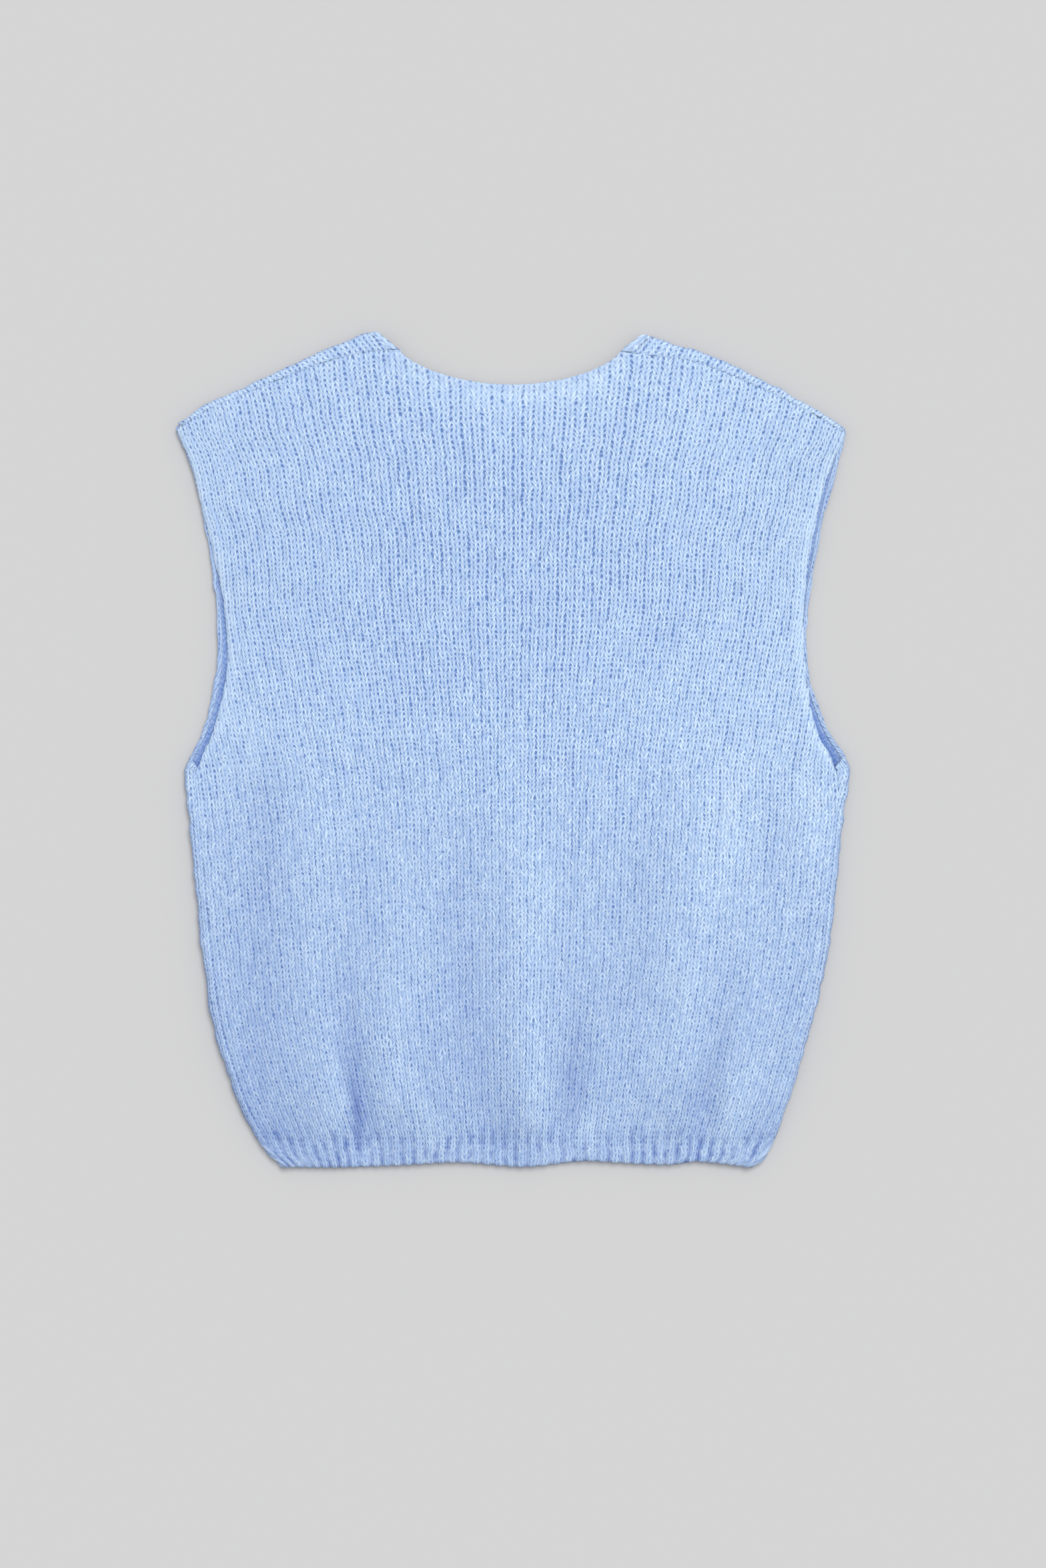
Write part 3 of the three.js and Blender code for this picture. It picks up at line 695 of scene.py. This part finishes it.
# The stitches' own surface. leg is the row measured along the leaning legs.
def stitchRelief(u, leg):
    spread = np.abs(u - np.floor(u) - 0.5) * 2
    wale = stitchForm["rise"] - stitchForm["valley"] * smoothStep(spread, 0.35, 1)
    wale = wale - stitchForm["cleft"] * smoothStep(spread, 0.4, 0)
    ridge = -stitchForm["ridge"] * np.abs(2 * (leg - np.floor(leg)) - 1)
    size = 1 + stitchForm["uneven"] * softNoise(u * 1.3, leg * 1.1, 3)
    return (wale + ridge) * size + stitchForm["wavy"] * softNoise(u / 3, leg / 3, 8)


# Painted shade: darker in the hollows, towards the welt and to the left; painted light on the creases'
# ridges
def foldShade(x, height):
    lowDown = readTable(dusk, "shade", height)
    toLeft = smoothStep(x, dusk["halfWidth"], -dusk["halfWidth"])
    return -dusk["crease"] * creaseAt(x, height) + lowDown + dusk["left"] * toLeft


rib = {
    "power": 0.75,
    "shade": 0.36,
    "clumps": 0.3,
    "specks": 0.2,
    "runOn": 14,  # how far the lines run on above the welt, and how unevenly
    "ragged": 6,
    "full": 15,
}


# 1 on a rib, which is a knit wale, and 0 in the valley beside it
def ribHump(phase):
    return (0.5 - 0.5 * np.cos(2 * np.pi * (phase - 0.25))) ** rib["power"]


# Painted shade in broken lines between the ribs. They run on a little way into the knitting above.
def ribShade(phase, height):
    valley = (1 - ribHump(phase)) ** 2
    strength = rib["shade"] + rib["clumps"] * softNoise(phase, height / 5, 12)
    strength = strength + rib["specks"] * softNoise(phase * 3, height / 2.2, 13)
    end = cloth["ribTop"] + rib["runOn"] + rib["ragged"] * softNoise(phase, 0 * height, 14)
    return np.maximum(0, strength) * valley * smoothStep(height, end, rib["full"])


# The back
back = {
    "columns": 4,  # for each wale
    "rows": 2,  # for each row of stitches
    "latticeRows": 152,
    "innerStep": 2,
    "rollWidth": 6.0,
    "rollDepth": 3.2,
    "seamWidth": 1.4,
    "seamDepth": 0.9,
    "overSide": 0.6,
    "overTop": 0.9,
    "overNeck": 1.2,
    "neckBand": (84, 74),
    "ragged": 0.4,
    "waleSway": 0.07,
    "waleJitter": 0.11,
    "rowJitter": 0.3,
    "calmWidth": (2, 11),  # at the side seams, and at the armholes
    "calm": (0.3, 0.55),
    "neckCalm": 0.45,
    "openedUp": 0.35,
}
pulled = {"height": 400, "halfWidth": 190, "halfHeight": 170}


# 1 where the back's knitting is pulled open, in the middle of the shoulders
def stretched(x, height):
    across, along = x / pulled["halfWidth"], (height - pulled["height"]) / pulled["halfHeight"]
    return smoothStep(np.hypot(across, along), 1.25, 0.35)


def rollOff(near, width, depth):
    return depth * (1 - np.sqrt(np.maximum(0, 1 - np.clip(1 - near / width, 0, 1) ** 2)))


# How far a point lies in from the back's side edges and from its top edge
def backEdges(x, height):
    level = np.minimum(height, cloth["tip"])
    over = back["overSide"] * smoothStep(height, cloth["underarm"] + 4, cloth["underarm"] - 4)
    over = over + back["ragged"] * softNoise(height / 4.3, x / 200 + 7, 51)
    left = outline("left", level) + sideInset("left", level) - over
    right = outline("right", level) - sideInset("right", level) + over
    atNeck = smoothStep(np.abs(x), *back["neckBand"])
    top = np.interp(x, backTopLine[0], backTopLine[1]) + back["overTop"] + back["overNeck"] * atNeck
    return np.minimum(x - left, right - x), top - height


def backInside(u, v):
    x, height = clothPoint(u, v + slantOf(u, v))
    fromSide, fromTop = backEdges(x, height)
    return (height > cloth["ribTop"] - 0.15) & (fromSide > 0) & (fromTop > 0)


def backPoints(u, v, stitches=True):
    row = v + slantOf(u, v)
    free = smoothStep(row, 0, 3)
    sway = back["waleSway"] * softNoise(u / 2.5 + 40, row / 3 + 10, 5)
    sway = sway + back["waleJitter"] * softNoise(u * 1.1, row * 0.8, 15)
    climb = back["rowJitter"] * softNoise(u * 0.9 + 9, row * 0.7, 25)
    x, height = clothPoint(u + free * sway, row + free * climb)
    z = backTop(x, height)
    fromSide, fromTop = (np.maximum(0, distance) for distance in backEdges(x, height))
    opened = smoothStep(height, cloth["underarm"] - 4, cloth["underarm"] + 10)
    width = mix(back["seamWidth"], back["rollWidth"], opened)
    depth = mix(back["seamDepth"], back["rollDepth"], opened)
    drop = rollOff(fromSide, width, depth) + rollOff(fromTop, back["seamWidth"], back["seamDepth"])
    calm = smoothStep(fromSide, mix(*back["calmWidth"], opened), 0) * mix(*back["calm"], opened)
    neckTop = smoothStep(fromTop, 26, 0) * smoothStep(np.abs(x), 95, 60)
    calm = np.maximum(calm, back["neckCalm"] * neckTop)
    calm = calm - back["openedUp"] * stretched(x, height) * (1 - neckTop)
    if stitches:
        z = z + stitchRelief(u, v) * (1 - 0.6 * np.clip(calm, 0, 1))
    return x, height, z - drop, calm


def makeBack():
    wales, rows = gauge["wales"], back["latticeRows"]
    uLines = np.arange(-wales - 1, wales + 1 + 1e-6, 1 / back["columns"])
    vLines = np.arange(-3, rows, 1 / back["rows"])
    u, v, quads = clipLattice(uLines, vLines, backInside)
    x, y, z, calm = backPoints(u, v)
    outer = np.stack([x, y, z], -1)
    step = back["innerStep"]
    ui, vi, innerQuads = clipLattice(
        np.arange(-wales - 2, wales + 2.1, step),
        np.arange(-2, rows, step),
        lambda a, b: backInside(a, b - slantOf(a, b)),
    )
    xi, yi, zi, _ = backPoints(ui, vi - slantOf(ui, vi), stitches=False)
    inner = np.stack([xi, yi, np.maximum(zi - cloth["thickness"], 0.1)], -1)
    outerLoop, innerLoop = borderLoop(quads), borderLoop(innerQuads)
    rim = zipLoops(outer[:, :2], outerLoop, inner[:, :2], innerLoop)
    faces = quads.tolist() + (innerQuads[:, ::-1] + len(outer)).tolist() + rim
    inside = [0] * len(quads) + [1] * len(innerQuads) + [0] * len(rim)
    # The underside gets painted shade
    knit = np.concatenate(
        [
            np.stack([u, v + slantOf(u, v), calm, foldShade(x, y) + ribShade((u + wales) / 2, y)], -1),
            np.stack([ui, vi, 0 * ui, 0 * ui + 0.75], -1),
        ]
    )
    points = np.concatenate([outer, inner])
    return addPiece("back_panel_knit", points, faces, knit, [knitFace, purlFace], inside, flat=len(rim))


backKnit = makeBack()


# Folded cloth: the front, the welts and the bindings
wrap = {"turn": 12, "lowCurl": 1.5, "highCurl": 1.9, "sideSteps": 14, "shoulderSteps": 14}


# Cloth that folds over an edge. Returns the point and how far it has gone round.
def foldOver(edgeX, edgeY, seamX, seamY, radius, share, curl=None):
    inX, inY = seamX - edgeX, seamY - edgeY
    reach = np.hypot(inX, inY)
    inX, inY = inX / reach, inY / reach
    half = np.pi * radius
    length = half + np.maximum(0, reach - radius) if curl is None else curl * radius
    gone = share * length
    turned = np.minimum(gone, half) / radius
    depth = radius * (1 - np.sin(turned)) + np.maximum(0, gone - half)
    return np.stack([edgeX + inX * depth, edgeY + inY * depth, radius * (1 - np.cos(turned))], -1), gone


def shoulderWrap(side, place, share):
    edgeX, edgeY = shoulderFoldPoint(side, place)
    seamX, seamY = shoulderSeamPoint(side, place)
    return foldOver(edgeX, edgeY, seamX, seamY, foldRadius(edgeY), share)


# x where the front leaves the surface and starts to turn round a side fold
def foldStart(side, height):
    return outline(side, height) - outward[side] * foldRadius(height)


def sideWrap(side, height, share):
    height = np.asarray(height, float)
    radius = foldRadius(height)
    edge = outline(side, height)
    inset = sideInset(side, height)
    whole = np.pi + np.maximum(0, inset - radius) / radius
    curl = mix(wrap["lowCurl"], wrap["highCurl"], smoothStep(inset, radius + 0.2, radius + 1.6))
    opened = smoothStep(height, cloth["underarm"], cloth["underarm"] + wrap["turn"])
    full = mix(whole, curl, opened)
    return foldOver(edge, height, edge - outward[side], height, radius, share, full)


def gridFaces(rows, columns, flip=False):
    number = np.arange(rows * columns).reshape(rows, columns)
    quads = np.stack(cellCorners(number), -1).reshape(-1, 4)
    return quads[:, ::-1] if flip else quads


# A closed wall on a grid of outer points. hollow marks grid points that have no cloth.
def shellPiece(name, grid, knit, thick, hollow=None, flip=False, relief=None, innerShade=0.75, around=0):
    rows, columns = grid.shape[:2]
    along = np.gradient(grid, axis=0)
    across = np.gradient(grid, axis=1)
    normal = np.cross(along, across)
    normal /= np.maximum(np.linalg.norm(normal, axis=-1, keepdims=True), 1e-9)
    if flip:
        normal = -normal
        normal[grid[..., 2] < 1e-6] = (0.0, 0.0, -1.0)
    outer = grid if relief is None else grid + normal * relief[..., None]
    inner = grid - normal * thick
    quads = gridFaces(rows, columns, flip=flip)
    if hollow is not None:
        quads = quads[~hollow.reshape(-1)[quads].any(1)]
    base = rows * columns
    rim = [[b, a, a + base, b + base] for a, b in openEdges(quads)]
    faces = quads.tolist() + (quads[:, ::-1] + base).tolist() + sorted(rim)
    inside = [0] * len(quads) + [1] * len(quads) + [0] * len(rim)
    points = np.concatenate([outer.reshape(-1, 3), inner.reshape(-1, 3)])
    # The lining is darkened with painted shade
    lining = knit.copy()
    lining[..., 0] += around
    lining[..., 3] = innerShade
    knit = np.concatenate([knit.reshape(-1, 4), lining.reshape(-1, 4)])
    used = np.unique(np.concatenate([np.ravel(f) for f in faces]))
    number = np.zeros(2 * base, int)
    number[used] = np.arange(len(used))
    faces = [[int(number[n]) for n in f] for f in faces]
    flat = len(quads) + len(rim)
    return addPiece(name, points[used], faces, knit[used], [knitFace, purlFace], inside, flat)


# The front
front = {
    "upperRows": 120,
    "shoulderColumns": 34,
    "neckColumns": 42,
    "stitches": 0.8,
    "bumps": 0.8,
    "swells": 0.5,
    "freeDip": 0.4,
    "calm": 0.3,
    # edgeShade is painted shade where the cloth rolls round its folds; curlShade and liningShade are
    # painted shade on the lining
    "edgeShade": 0.28,
    "curlShade": 0.2,  # deep inside the curl, and what is added away from its free edge
    "liningShade": 0.75,
    "far": 99.0,  # stands for no edge nearby
}


# The front's upper edge, from the left shoulder round the neck to the right one
def frontTop(places):
    starts = [shoulderWrap(side, places, 0.0)[0] for side in sides]
    turns = roundSteps(front["neckColumns"])[1:-1]
    drop = neck["frontDrop"] + neck["binding"]
    neckX, neckY = neckCurve(starts[0][-1, :2], starts[1][-1, :2], drop, frontFullness, turns)
    x = np.concatenate([starts[0][:, 0], neckX, starts[1][::-1, 0]])
    y = np.concatenate([starts[0][:, 1], neckY, starts[1][::-1, 1]])
    return x, y


# Each column's share of the width between the side folds. No column passes the next.
def columnShares(x, y):
    level = np.minimum(y, cloth["tip"])
    left, right = foldStart("left", level), foldStart("right", level)
    share = (x - left) / (right - left)
    share[0], share[-1] = 0, 1
    half = len(share) // 2
    apart = 1e-4 * np.arange(half)
    share[:half] = np.maximum.accumulate(share[:half] + apart)
    share[half:] = 1 - np.maximum.accumulate(1 - share[: half - 1 : -1] + apart)[::-1]
    return share


# The strip over a shoulder: its points, where they lie unrolled, and how far they are from the seam
def shoulderStrip(side, places, steps):
    point, gone = shoulderWrap(side, places[:, None], steps[None])
    # The wales go on straight over the fold, so on the strip they lie mirrored in it
    foldX, foldY = shoulderFoldPoint(side, places)
    fold = np.stack([foldX, foldY], -1)
    tangent = np.gradient(fold, axis=0)
    tangent /= np.linalg.norm(tangent, axis=1, keepdims=True)
    normal = np.stack([-tangent[:, 1], tangent[:, 0]], -1)
    normal *= np.sign(normal[:, 1:])
    away = point[..., :2] - fold[:, None]
    slide = (away * tangent[:, None]).sum(-1, keepdims=True)
    beyond = gone[..., None] - foldRadius(foldY)[:, None, None]
    unrolled = fold[:, None] + slide * tangent[:, None] + normal[:, None] * beyond
    return point, unrolled, gone[:, -1:] - gone


# The strip round a side fold: the same, and how far its points are from the armhole's free edge
def sideStrip(side, heights, blank):
    turn = np.linspace(0, 1, wrap["sideSteps"] + 1)[1:]
    level = np.minimum(heights, cloth["tip"])
    point, gone = sideWrap(side, level[None], turn[:, None])
    point[..., 1] = heights[None]
    unrolled = np.stack([foldStart(side, level)[None] + outward[side] * gone, point[..., 1]], -1)
    sewn = level < cloth["underarm"]
    fromEnd = gone[-1:] - gone
    fromSeam, fromFree = np.where(sewn, fromEnd, front["far"]), np.where(sewn, front["far"], fromEnd)
    empty = np.full((len(turn), blank, 3), np.nan)
    far = np.full((len(turn), blank), front["far"])
    ends = ((point, empty), (unrolled, empty[..., :2]), (fromSeam, far), (fromFree, far))
    return [np.concatenate(pair, 1) for pair in ends]


def makeFront():
    lower = np.arange(cloth["ribTop"], cloth["underarm"], gauge["row"] / 2)
    lower = np.append(lower, cloth["underarm"])
    upperShares = np.linspace(0, 1, front["upperRows"])[1:]
    first = foldRadius(cloth["tip"]) / (shoulderEnds["tip"]["left"] - shoulderEnds["neck"]["left"])
    places = np.linspace(first, neck["share"], front["shoulderColumns"])
    topX, topY = frontTop(places)
    upper = mix(cloth["underarm"], topY[:, None], upperShares[None])
    heights = np.concatenate([np.repeat(lower[None], len(topX), 0), upper], 1)
    level = np.minimum(heights, cloth["tip"])
    share = columnShares(topX, topY)[:, None]
    x = mix(foldStart("left", level), foldStart("right", level), share)
    laid = np.stack([x, heights, 0 * x], -1)

    # Over the shoulders, with no cloth between them
    steps = np.linspace(0, 1, wrap["shoulderSteps"] + 1)[1:]
    caps = np.full((len(topX), len(steps), 3), np.nan)
    capsUnrolled = caps[..., :2].copy()
    fromSeam = np.full((len(topX), heights.shape[1] + len(steps)), front["far"])
    count = len(places)
    for side, own, order in (
        ("left", slice(0, count), places),
        ("right", slice(-count, None), places[::-1]),
    ):
        strip = shoulderStrip(side, order, steps)
        caps[own], capsUnrolled[own], fromSeam[own, heights.shape[1] :] = strip
    grid = np.concatenate([laid, caps], 1)
    unrolled = np.concatenate([laid[..., :2], capsUnrolled], 1)
    fromFree = 0 * fromSeam + front["far"]

    # Round both side folds
    left = sideStrip("left", heights[0], len(steps))
    right = sideStrip("right", heights[-1], len(steps))
    joined = zip(left, (grid, unrolled, fromSeam, fromFree), right)
    grid, unrolled, fromSeam, fromFree = (np.concatenate([a[::-1], b, c]) for a, b, c in joined)
    hollow = np.isnan(grid[..., 0])
    grid = np.where(np.isnan(grid), 0, grid)
    unrolled = np.where(np.isnan(unrolled), 0, unrolled)

    u, v = clothPlace(unrolled[..., 0], unrolled[..., 1])
    x, y, z = grid[..., 0], grid[..., 1], grid[..., 2]
    lifted = smoothStep(z, 0.3, 1.5)
    relief = front["stitches"] * stitchRelief(u, v - slantOf(u, v))
    relief = (relief - rollOff(fromSeam, back["seamWidth"], back["seamDepth"])) * lifted
    bumps = front["bumps"] * softNoise(u / 1.7, v / 1.7, 41) + front["swells"] * softNoise(u / 4, v / 4, 42)
    bumps = bumps * lifted * smoothStep(fromSeam, 1.5, 6) * smoothStep(y, cloth["ribTop"], 40)
    relief = relief - front["freeDip"] * smoothStep(fromFree, 3.2, 0) + bumps
    opened = smoothStep(y, cloth["underarm"], cloth["underarm"] + 14) * (np.abs(x) > 195)
    calm = front["calm"] * opened * lifted
    level = np.minimum(y, cloth["tip"])
    # Painted shade where the cloth rolls away round its folds
    edgeShade = front["edgeShade"] * smoothStep(z / foldRadius(level), 2.0, 1.15)
    knit = np.stack([u, v, calm, foldShade(x, y) + edgeShade], -1)
    # Painted shade on the lining, lightest near the curl's free edge and deepest beside the back's edge
    fromOutline = np.minimum(x - outline("left", level), outline("right", level) - x)
    fromCurl = smoothStep(np.minimum(fromFree, 5 + fromOutline), 3, 15)
    innerShade = front["curlShade"] + front["liningShade"] * fromCurl
    around = 0.6 * np.sign(x) * smoothStep(fromFree, 6, 0)
    # Points with no cloth would upset the normals of their neighbours, so they go on from the last cloth
    for i in np.nonzero(hollow.any(1))[0]:
        lastRow = np.nonzero(~hollow[i])[0][-1]
        span = np.arange(grid.shape[1] - lastRow)[:, None]
        grid[i, lastRow:] = grid[i, lastRow] + span * (grid[i, lastRow] - grid[i, lastRow - 1])
    thick = cloth["thickness"]
    return shellPiece("front_panel_knit", grid, knit, thick, hollow, True, relief, innerShade, around)


frontKnit = makeFront()

# The ribbed welt
welt = {
    "ribs": 44,
    "steps": 8,
    "rows": 24,
    "thickness": 2.4,
    "raise": 1.1,
    "legs": 0.5,
    "nub": 0.5,
    "squeeze": 0.1,
    "sway": 0.9,
    "fan": 4,  # how much the ribs lean in near the corners only
    "overSide": 0.8,
    "frontThickness": 2.6,
    "frontPitch": 8.0,
    "frontRaise": 1.1,
    "frontColumns": 132,
    "frontRows": 12,
    "lap": 0.9,  # over the front panel
}


def weltEdge(side, height):
    return outline(side, height) - outward[side] * (sideInset(side, height) - welt["overSide"])


def weltHeight(x, share):
    return mix(readTable(hemEdge, "rise", x, key="across"), cloth["ribTop"] + 0.15, share)


# x in the welt. Its ribs stand upright in the middle and fan in towards the corners.
def weltPoint(across, height):
    s = 2 * across - 1
    x = 0
    for side in sides:
        wide = weltEdge(side, cloth["ribTop"]) * outward[side]
        gap = weltEdge(side, height) * outward[side] - wide
        bent = gap * np.sign(s) * np.abs(s) ** welt["fan"]
        x = x + np.where(np.sign(s) == outward[side], s * wide + bent, 0)
    return x


def makeBackWelt():
    across = np.linspace(0, 1, welt["ribs"] * welt["steps"] + 1)[:, None]
    phase = across * welt["ribs"]
    shares = (np.linspace(0, 1, welt["rows"] + 1) ** 1.1)[None]
    fade = smoothStep(shares, 1.0, 0.45)
    hump = ribHump(phase)
    height = weltHeight(weltPoint(across, cloth["ribTop"] * shares), shares)
    height = height - welt["nub"] * (hump - 0.5) * smoothStep(shares, 0.4, 0)
    u = -gauge["wales"] + 2 * phase + fade * welt["squeeze"] * -np.sin(2 * np.pi * (phase - 0.75))
    row = (height - cloth["ribTop"]) / gauge["row"]
    x = weltPoint(across, height)
    sway = softNoise(phase * 0.7, 2.5 * shares, 31) + 0.5 * softNoise(phase * 0.16, shares, 33)
    x = x + welt["sway"] * sway * fade * smoothStep(np.abs(2 * across - 1), 1, 0.95)
    leg = row - slantOf(u, row)
    size = 1 + 0.35 * softNoise(phase, shares * 2, 9)
    ribbed = welt["raise"] * (hump - 0.4) * size
    ribbed = ribbed - welt["legs"] * hump * np.abs(2 * (leg - np.floor(leg)) - 1)
    z = backTop(x, height) + mix(stitchRelief(u, leg), ribbed, fade)
    z = z - rollOff(shares * cloth["ribTop"], 3.2, 2.8)
    fromSide = np.minimum(x - weltEdge("left", height), weltEdge("right", height) - x)
    z = z - rollOff(np.maximum(fromSide, 0), back["seamWidth"], 0.5)
    grid = np.stack([x, height, z], -1)
    shade = foldShade(x, height) + ribShade(phase, height)
    knit = np.stack([u + 0 * z, row, fade * mix(0.6, 0.05, hump) + 0 * z, shade], -1)
    return shellPiece("back_hem_rib_knit", grid, knit, welt["thickness"])


def makeFrontWelt():
    shares = np.linspace(0, 1, welt["frontRows"])
    turn = np.linspace(0, 1, wrap["sideSteps"] + 1)[1:]
    across = np.linspace(0, 1, welt["frontColumns"] + 1)[:, None]
    lap = welt["lap"] * smoothStep(shares, 0.7, 1)
    leftX, rightX = (foldStart(side, cloth["ribTop"] * shares)[None] for side in sides)
    height = weltHeight(mix(leftX, rightX, across), shares[None]) + lap[None]
    x = mix(foldStart("left", height), foldStart("right", height), across)
    columns, unrolled = [np.stack([x, height, 0 * x], -1)], [x]
    for side in sides:
        own = weltHeight(weltEdge(side, cloth["ribTop"] * shares), shares) + lap
        point, gone = sideWrap(side, own[None], turn[:, None])
        beyond = foldStart(side, own)[None] + outward[side] * gone
        if side == "left":
            columns.insert(0, point[::-1])
            unrolled.insert(0, beyond[::-1])
        else:
            columns.append(point)
            unrolled.append(beyond)
    grid, phase = np.concatenate(columns), np.concatenate(unrolled) / welt["frontPitch"]
    row = (grid[..., 1] - cloth["ribTop"]) / gauge["row"]
    hump = ribHump(phase)
    # Painted shade in the valleys between the ribs
    shade = foldShade(grid[..., 0], grid[..., 1]) + 0.3 * (1 - hump) ** 1.5
    knit = np.stack([2 * phase, row, 0 * hump + 0.7, shade], -1)
    lifted = smoothStep(grid[..., 2], 0.3, 1.5)
    relief = welt["frontRaise"] * (hump - 0.5) * lifted * smoothStep(shares, 1, 0.7)
    return shellPiece("front_hem_rib_knit", grid, knit, welt["frontThickness"], flip=True, relief=relief)


backRib = makeBackWelt()
frontRib = makeFrontWelt()

# The bound-off neck edges
binding = {
    "around": 16,
    "steps": 220,
    "thickness": 1.7,
    "chain": 5.6,
    "bead": 0.16,
    "uneven": 0.12,
    "squareness": 0.8,
    "lap": 1.3,
    "tuck": 0.5,
    "frontTuck": 0.2,
    "calm": 0.35,
    # shade and knitShade are painted shade on the bands
    "shade": 0.1,
    "knitCalm": 0.5,
    "knitShade": 0.12,
}


# A rounded band along a path. middle, half width and half thickness are arrays of vectors.
def makeBinding(name, middle, half, lift, knitted=False):
    angle = np.linspace(0, 2 * np.pi, binding["around"] + 1)[:-1]
    length = np.concatenate([[0], np.cumsum(np.linalg.norm(np.diff(middle, axis=0), axis=1))])
    v = length / binding["chain"]
    beads = 1 + binding["bead"] * np.cos(2 * np.pi * v) + binding["uneven"] * softNoise(v * 2, v * 0, 21)
    ring = np.stack([np.cos(angle), np.sin(angle)])
    wide, high = np.sign(ring) * np.abs(ring) ** binding["squareness"]
    points = (
        middle[:, None]
        + half[:, None] * (wide[None, :, None] * mix(1, beads, 0.35)[:, None, None])
        + lift[:, None] * (high[None, :, None] * beads[:, None, None])
    )
    rows, columns = points.shape[:2]
    number = np.arange(rows * columns).reshape(rows, columns)
    after = np.roll(number, -1, axis=1)
    quads = np.stack([number[:-1], after[:-1], after[1:], number[1:]], -1).reshape(-1, 4).tolist()
    faces = quads + [number[0][::-1].tolist(), number[-1].tolist()]
    u = 0.5 + 0.5 * wide
    zero = 0 * v[:, None] + 0 * u[None]
    wale, row, calm, shade = u[None] + zero, v[:, None] + zero, binding["calm"], binding["shade"]
    if knitted:
        wale, row = clothPlace(points[..., 0], points[..., 1])
        calm, shade = binding["knitCalm"], binding["knitShade"]
    knit = np.stack([wale, row, calm + zero, shade + zero], -1)
    return addPiece(name, points.reshape(-1, 3), faces, knit.reshape(-1, 4), [knitFace], flat=2)


# The band's middle line, half width and half thickness. It laps a little over the panel.
def bandAlong(finished, panel, outer, tuck):
    half = (finished - panel) * binding["lap"] / 2
    lift = outer * binding["thickness"]
    middle = finished - half - lift * 0.95
    for end, beside in ((0, 1), (-1, -2)):
        along = middle[end] - middle[beside]
        middle[end] += along / np.linalg.norm(along) * tuck - lift[end] * 0.3
        lift[end] *= 0.55
    return middle, half, lift


def makeBackBinding():
    u = roundSteps(binding["steps"])
    finished, panel = np.stack(backNeck(u), -1), np.stack(backNeck(u, panel=True), -1)
    z = backTop(panel[:, 0], panel[:, 1])[:, None]
    up = np.repeat([[0.0, 0.0, 1.0]], len(u), 0)
    band = bandAlong(np.hstack([finished, z]), np.hstack([panel, z]), up, binding["tuck"])
    return makeBinding("back_neck_edge", *band, knitted=True)


def makeFrontBinding():
    steps = np.linspace(0.06, 0.95, 26)
    parts = {}
    for side in sides:
        finished = shoulderWrap(side, 1.0, steps)[0]
        panel = shoulderWrap(side, neck["share"], steps)[0]
        along = np.gradient(finished, axis=0)
        outer = np.cross(along, finished - panel) * -outward[side]
        outer /= np.linalg.norm(outer, axis=1, keepdims=True)
        parts[side] = (finished, panel, outer)
    u = roundSteps(binding["steps"])
    ends = [shoulderWrap(side, place, 0.0)[0][:2] for place in (1.0, neck["share"]) for side in sides]
    flat = []
    for start, drop in ((0, 0.0), (2, neck["binding"])):
        x, y = neckCurve(ends[start], ends[start + 1], neck["frontDrop"] + drop, frontFullness, u)
        flat.append(np.stack([x, y, 0 * x], -1))
    down = np.repeat([[0.0, 0.0, -1.0]], len(u), 0)
    joined = [
        np.concatenate([parts["left"][k][::-1], middle, parts["right"][k]])
        for k, middle in enumerate((flat[0], flat[1], down))
    ]
    return makeBinding("front_neck_edge", *bandAlong(*joined, binding["frontTuck"]))


backEdge = makeBackBinding()
frontEdge = makeFrontBinding()
print("pieces made")

for piece, node, slotName in (
    (backKnit, "back_panel", "knit"),
    (frontKnit, "front_panel", "knit"),
    (backRib, "back_hem_rib", "rib"),
    (frontRib, "front_hem_rib", "rib"),
    (backEdge, "back_neck_binding", "neck_binding"),
    (frontEdge, "front_neck_binding", "neck_binding"),
):
    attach(piece, "root")
    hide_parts(node)

# Floor
ground = {"halfSize": 6.0, "below": 0.0003, "colour": (0.578, 0.578, 0.58, 1)}
mesh = bpy.data.meshes.new("floor")
half = ground["halfSize"]
corners = [(-half, -half, 0), (half, -half, 0), (half, half, 0), (-half, half, 0)]
mesh.from_pydata(corners, [], [(0, 1, 2, 3)])
floor = bpy.data.objects.new("floor", mesh)
floor.location.z = cadLow.z - ground["below"]
scene.collection.objects.link(floor)
paper = bpy.data.materials.new("paper")
paper.use_nodes = True
paperShader = paper.node_tree.nodes["Principled BSDF"]
paperShader.inputs["Base Color"].default_value = ground["colour"]
paperShader.inputs["Roughness"].default_value = 1.0
paperShader.inputs["Specular IOR Level"].default_value = 0.0
mesh.materials.append(paper)

# Camera: straight down, on the photo's frame
view = {"lens": 85.0, "sensor": 36.0, "height": 1.1285, "x": 0.0072, "y": -0.0247}
cameraData = bpy.data.cameras.new("camera")
cameraData.lens = view["lens"]
cameraData.sensor_width = view["sensor"]
camera = bpy.data.objects.new("camera", cameraData)
distance = view["height"] * view["lens"] / view["sensor"]
camera.location = (view["x"], view["y"], distance)
scene.collection.objects.link(camera)
scene.camera = camera

# Light: an even sky and a wide soft lamp from above the neck
lights = {"sky": 0.63, "lamp": 1.82, "lampAngle": 34.0, "lean": 26.0, "turn": -25.0}
world = bpy.data.worlds.new("studio")
world.use_nodes = True
world.node_tree.nodes["Background"].inputs[0].default_value = (1, 1, 1, 1)
world.node_tree.nodes["Background"].inputs[1].default_value = lights["sky"]
scene.world = world
lampData = bpy.data.lights.new("lamp", "SUN")
lampData.energy = lights["lamp"]
lampData.angle = math.radians(lights["lampAngle"])
lamp = bpy.data.objects.new("lamp", lampData)
lean, turn = math.radians(lights["lean"]), math.radians(lights["turn"])
toLamp = Vector((math.sin(lean) * math.sin(-turn), math.sin(lean) * math.cos(turn), math.cos(lean)))
lamp.rotation_mode = "QUATERNION"
lamp.rotation_quaternion = toLamp.to_track_quat("Z", "Y")
lamp.location = toLamp * 3
scene.collection.objects.link(lamp)
print("floor, camera and light made")
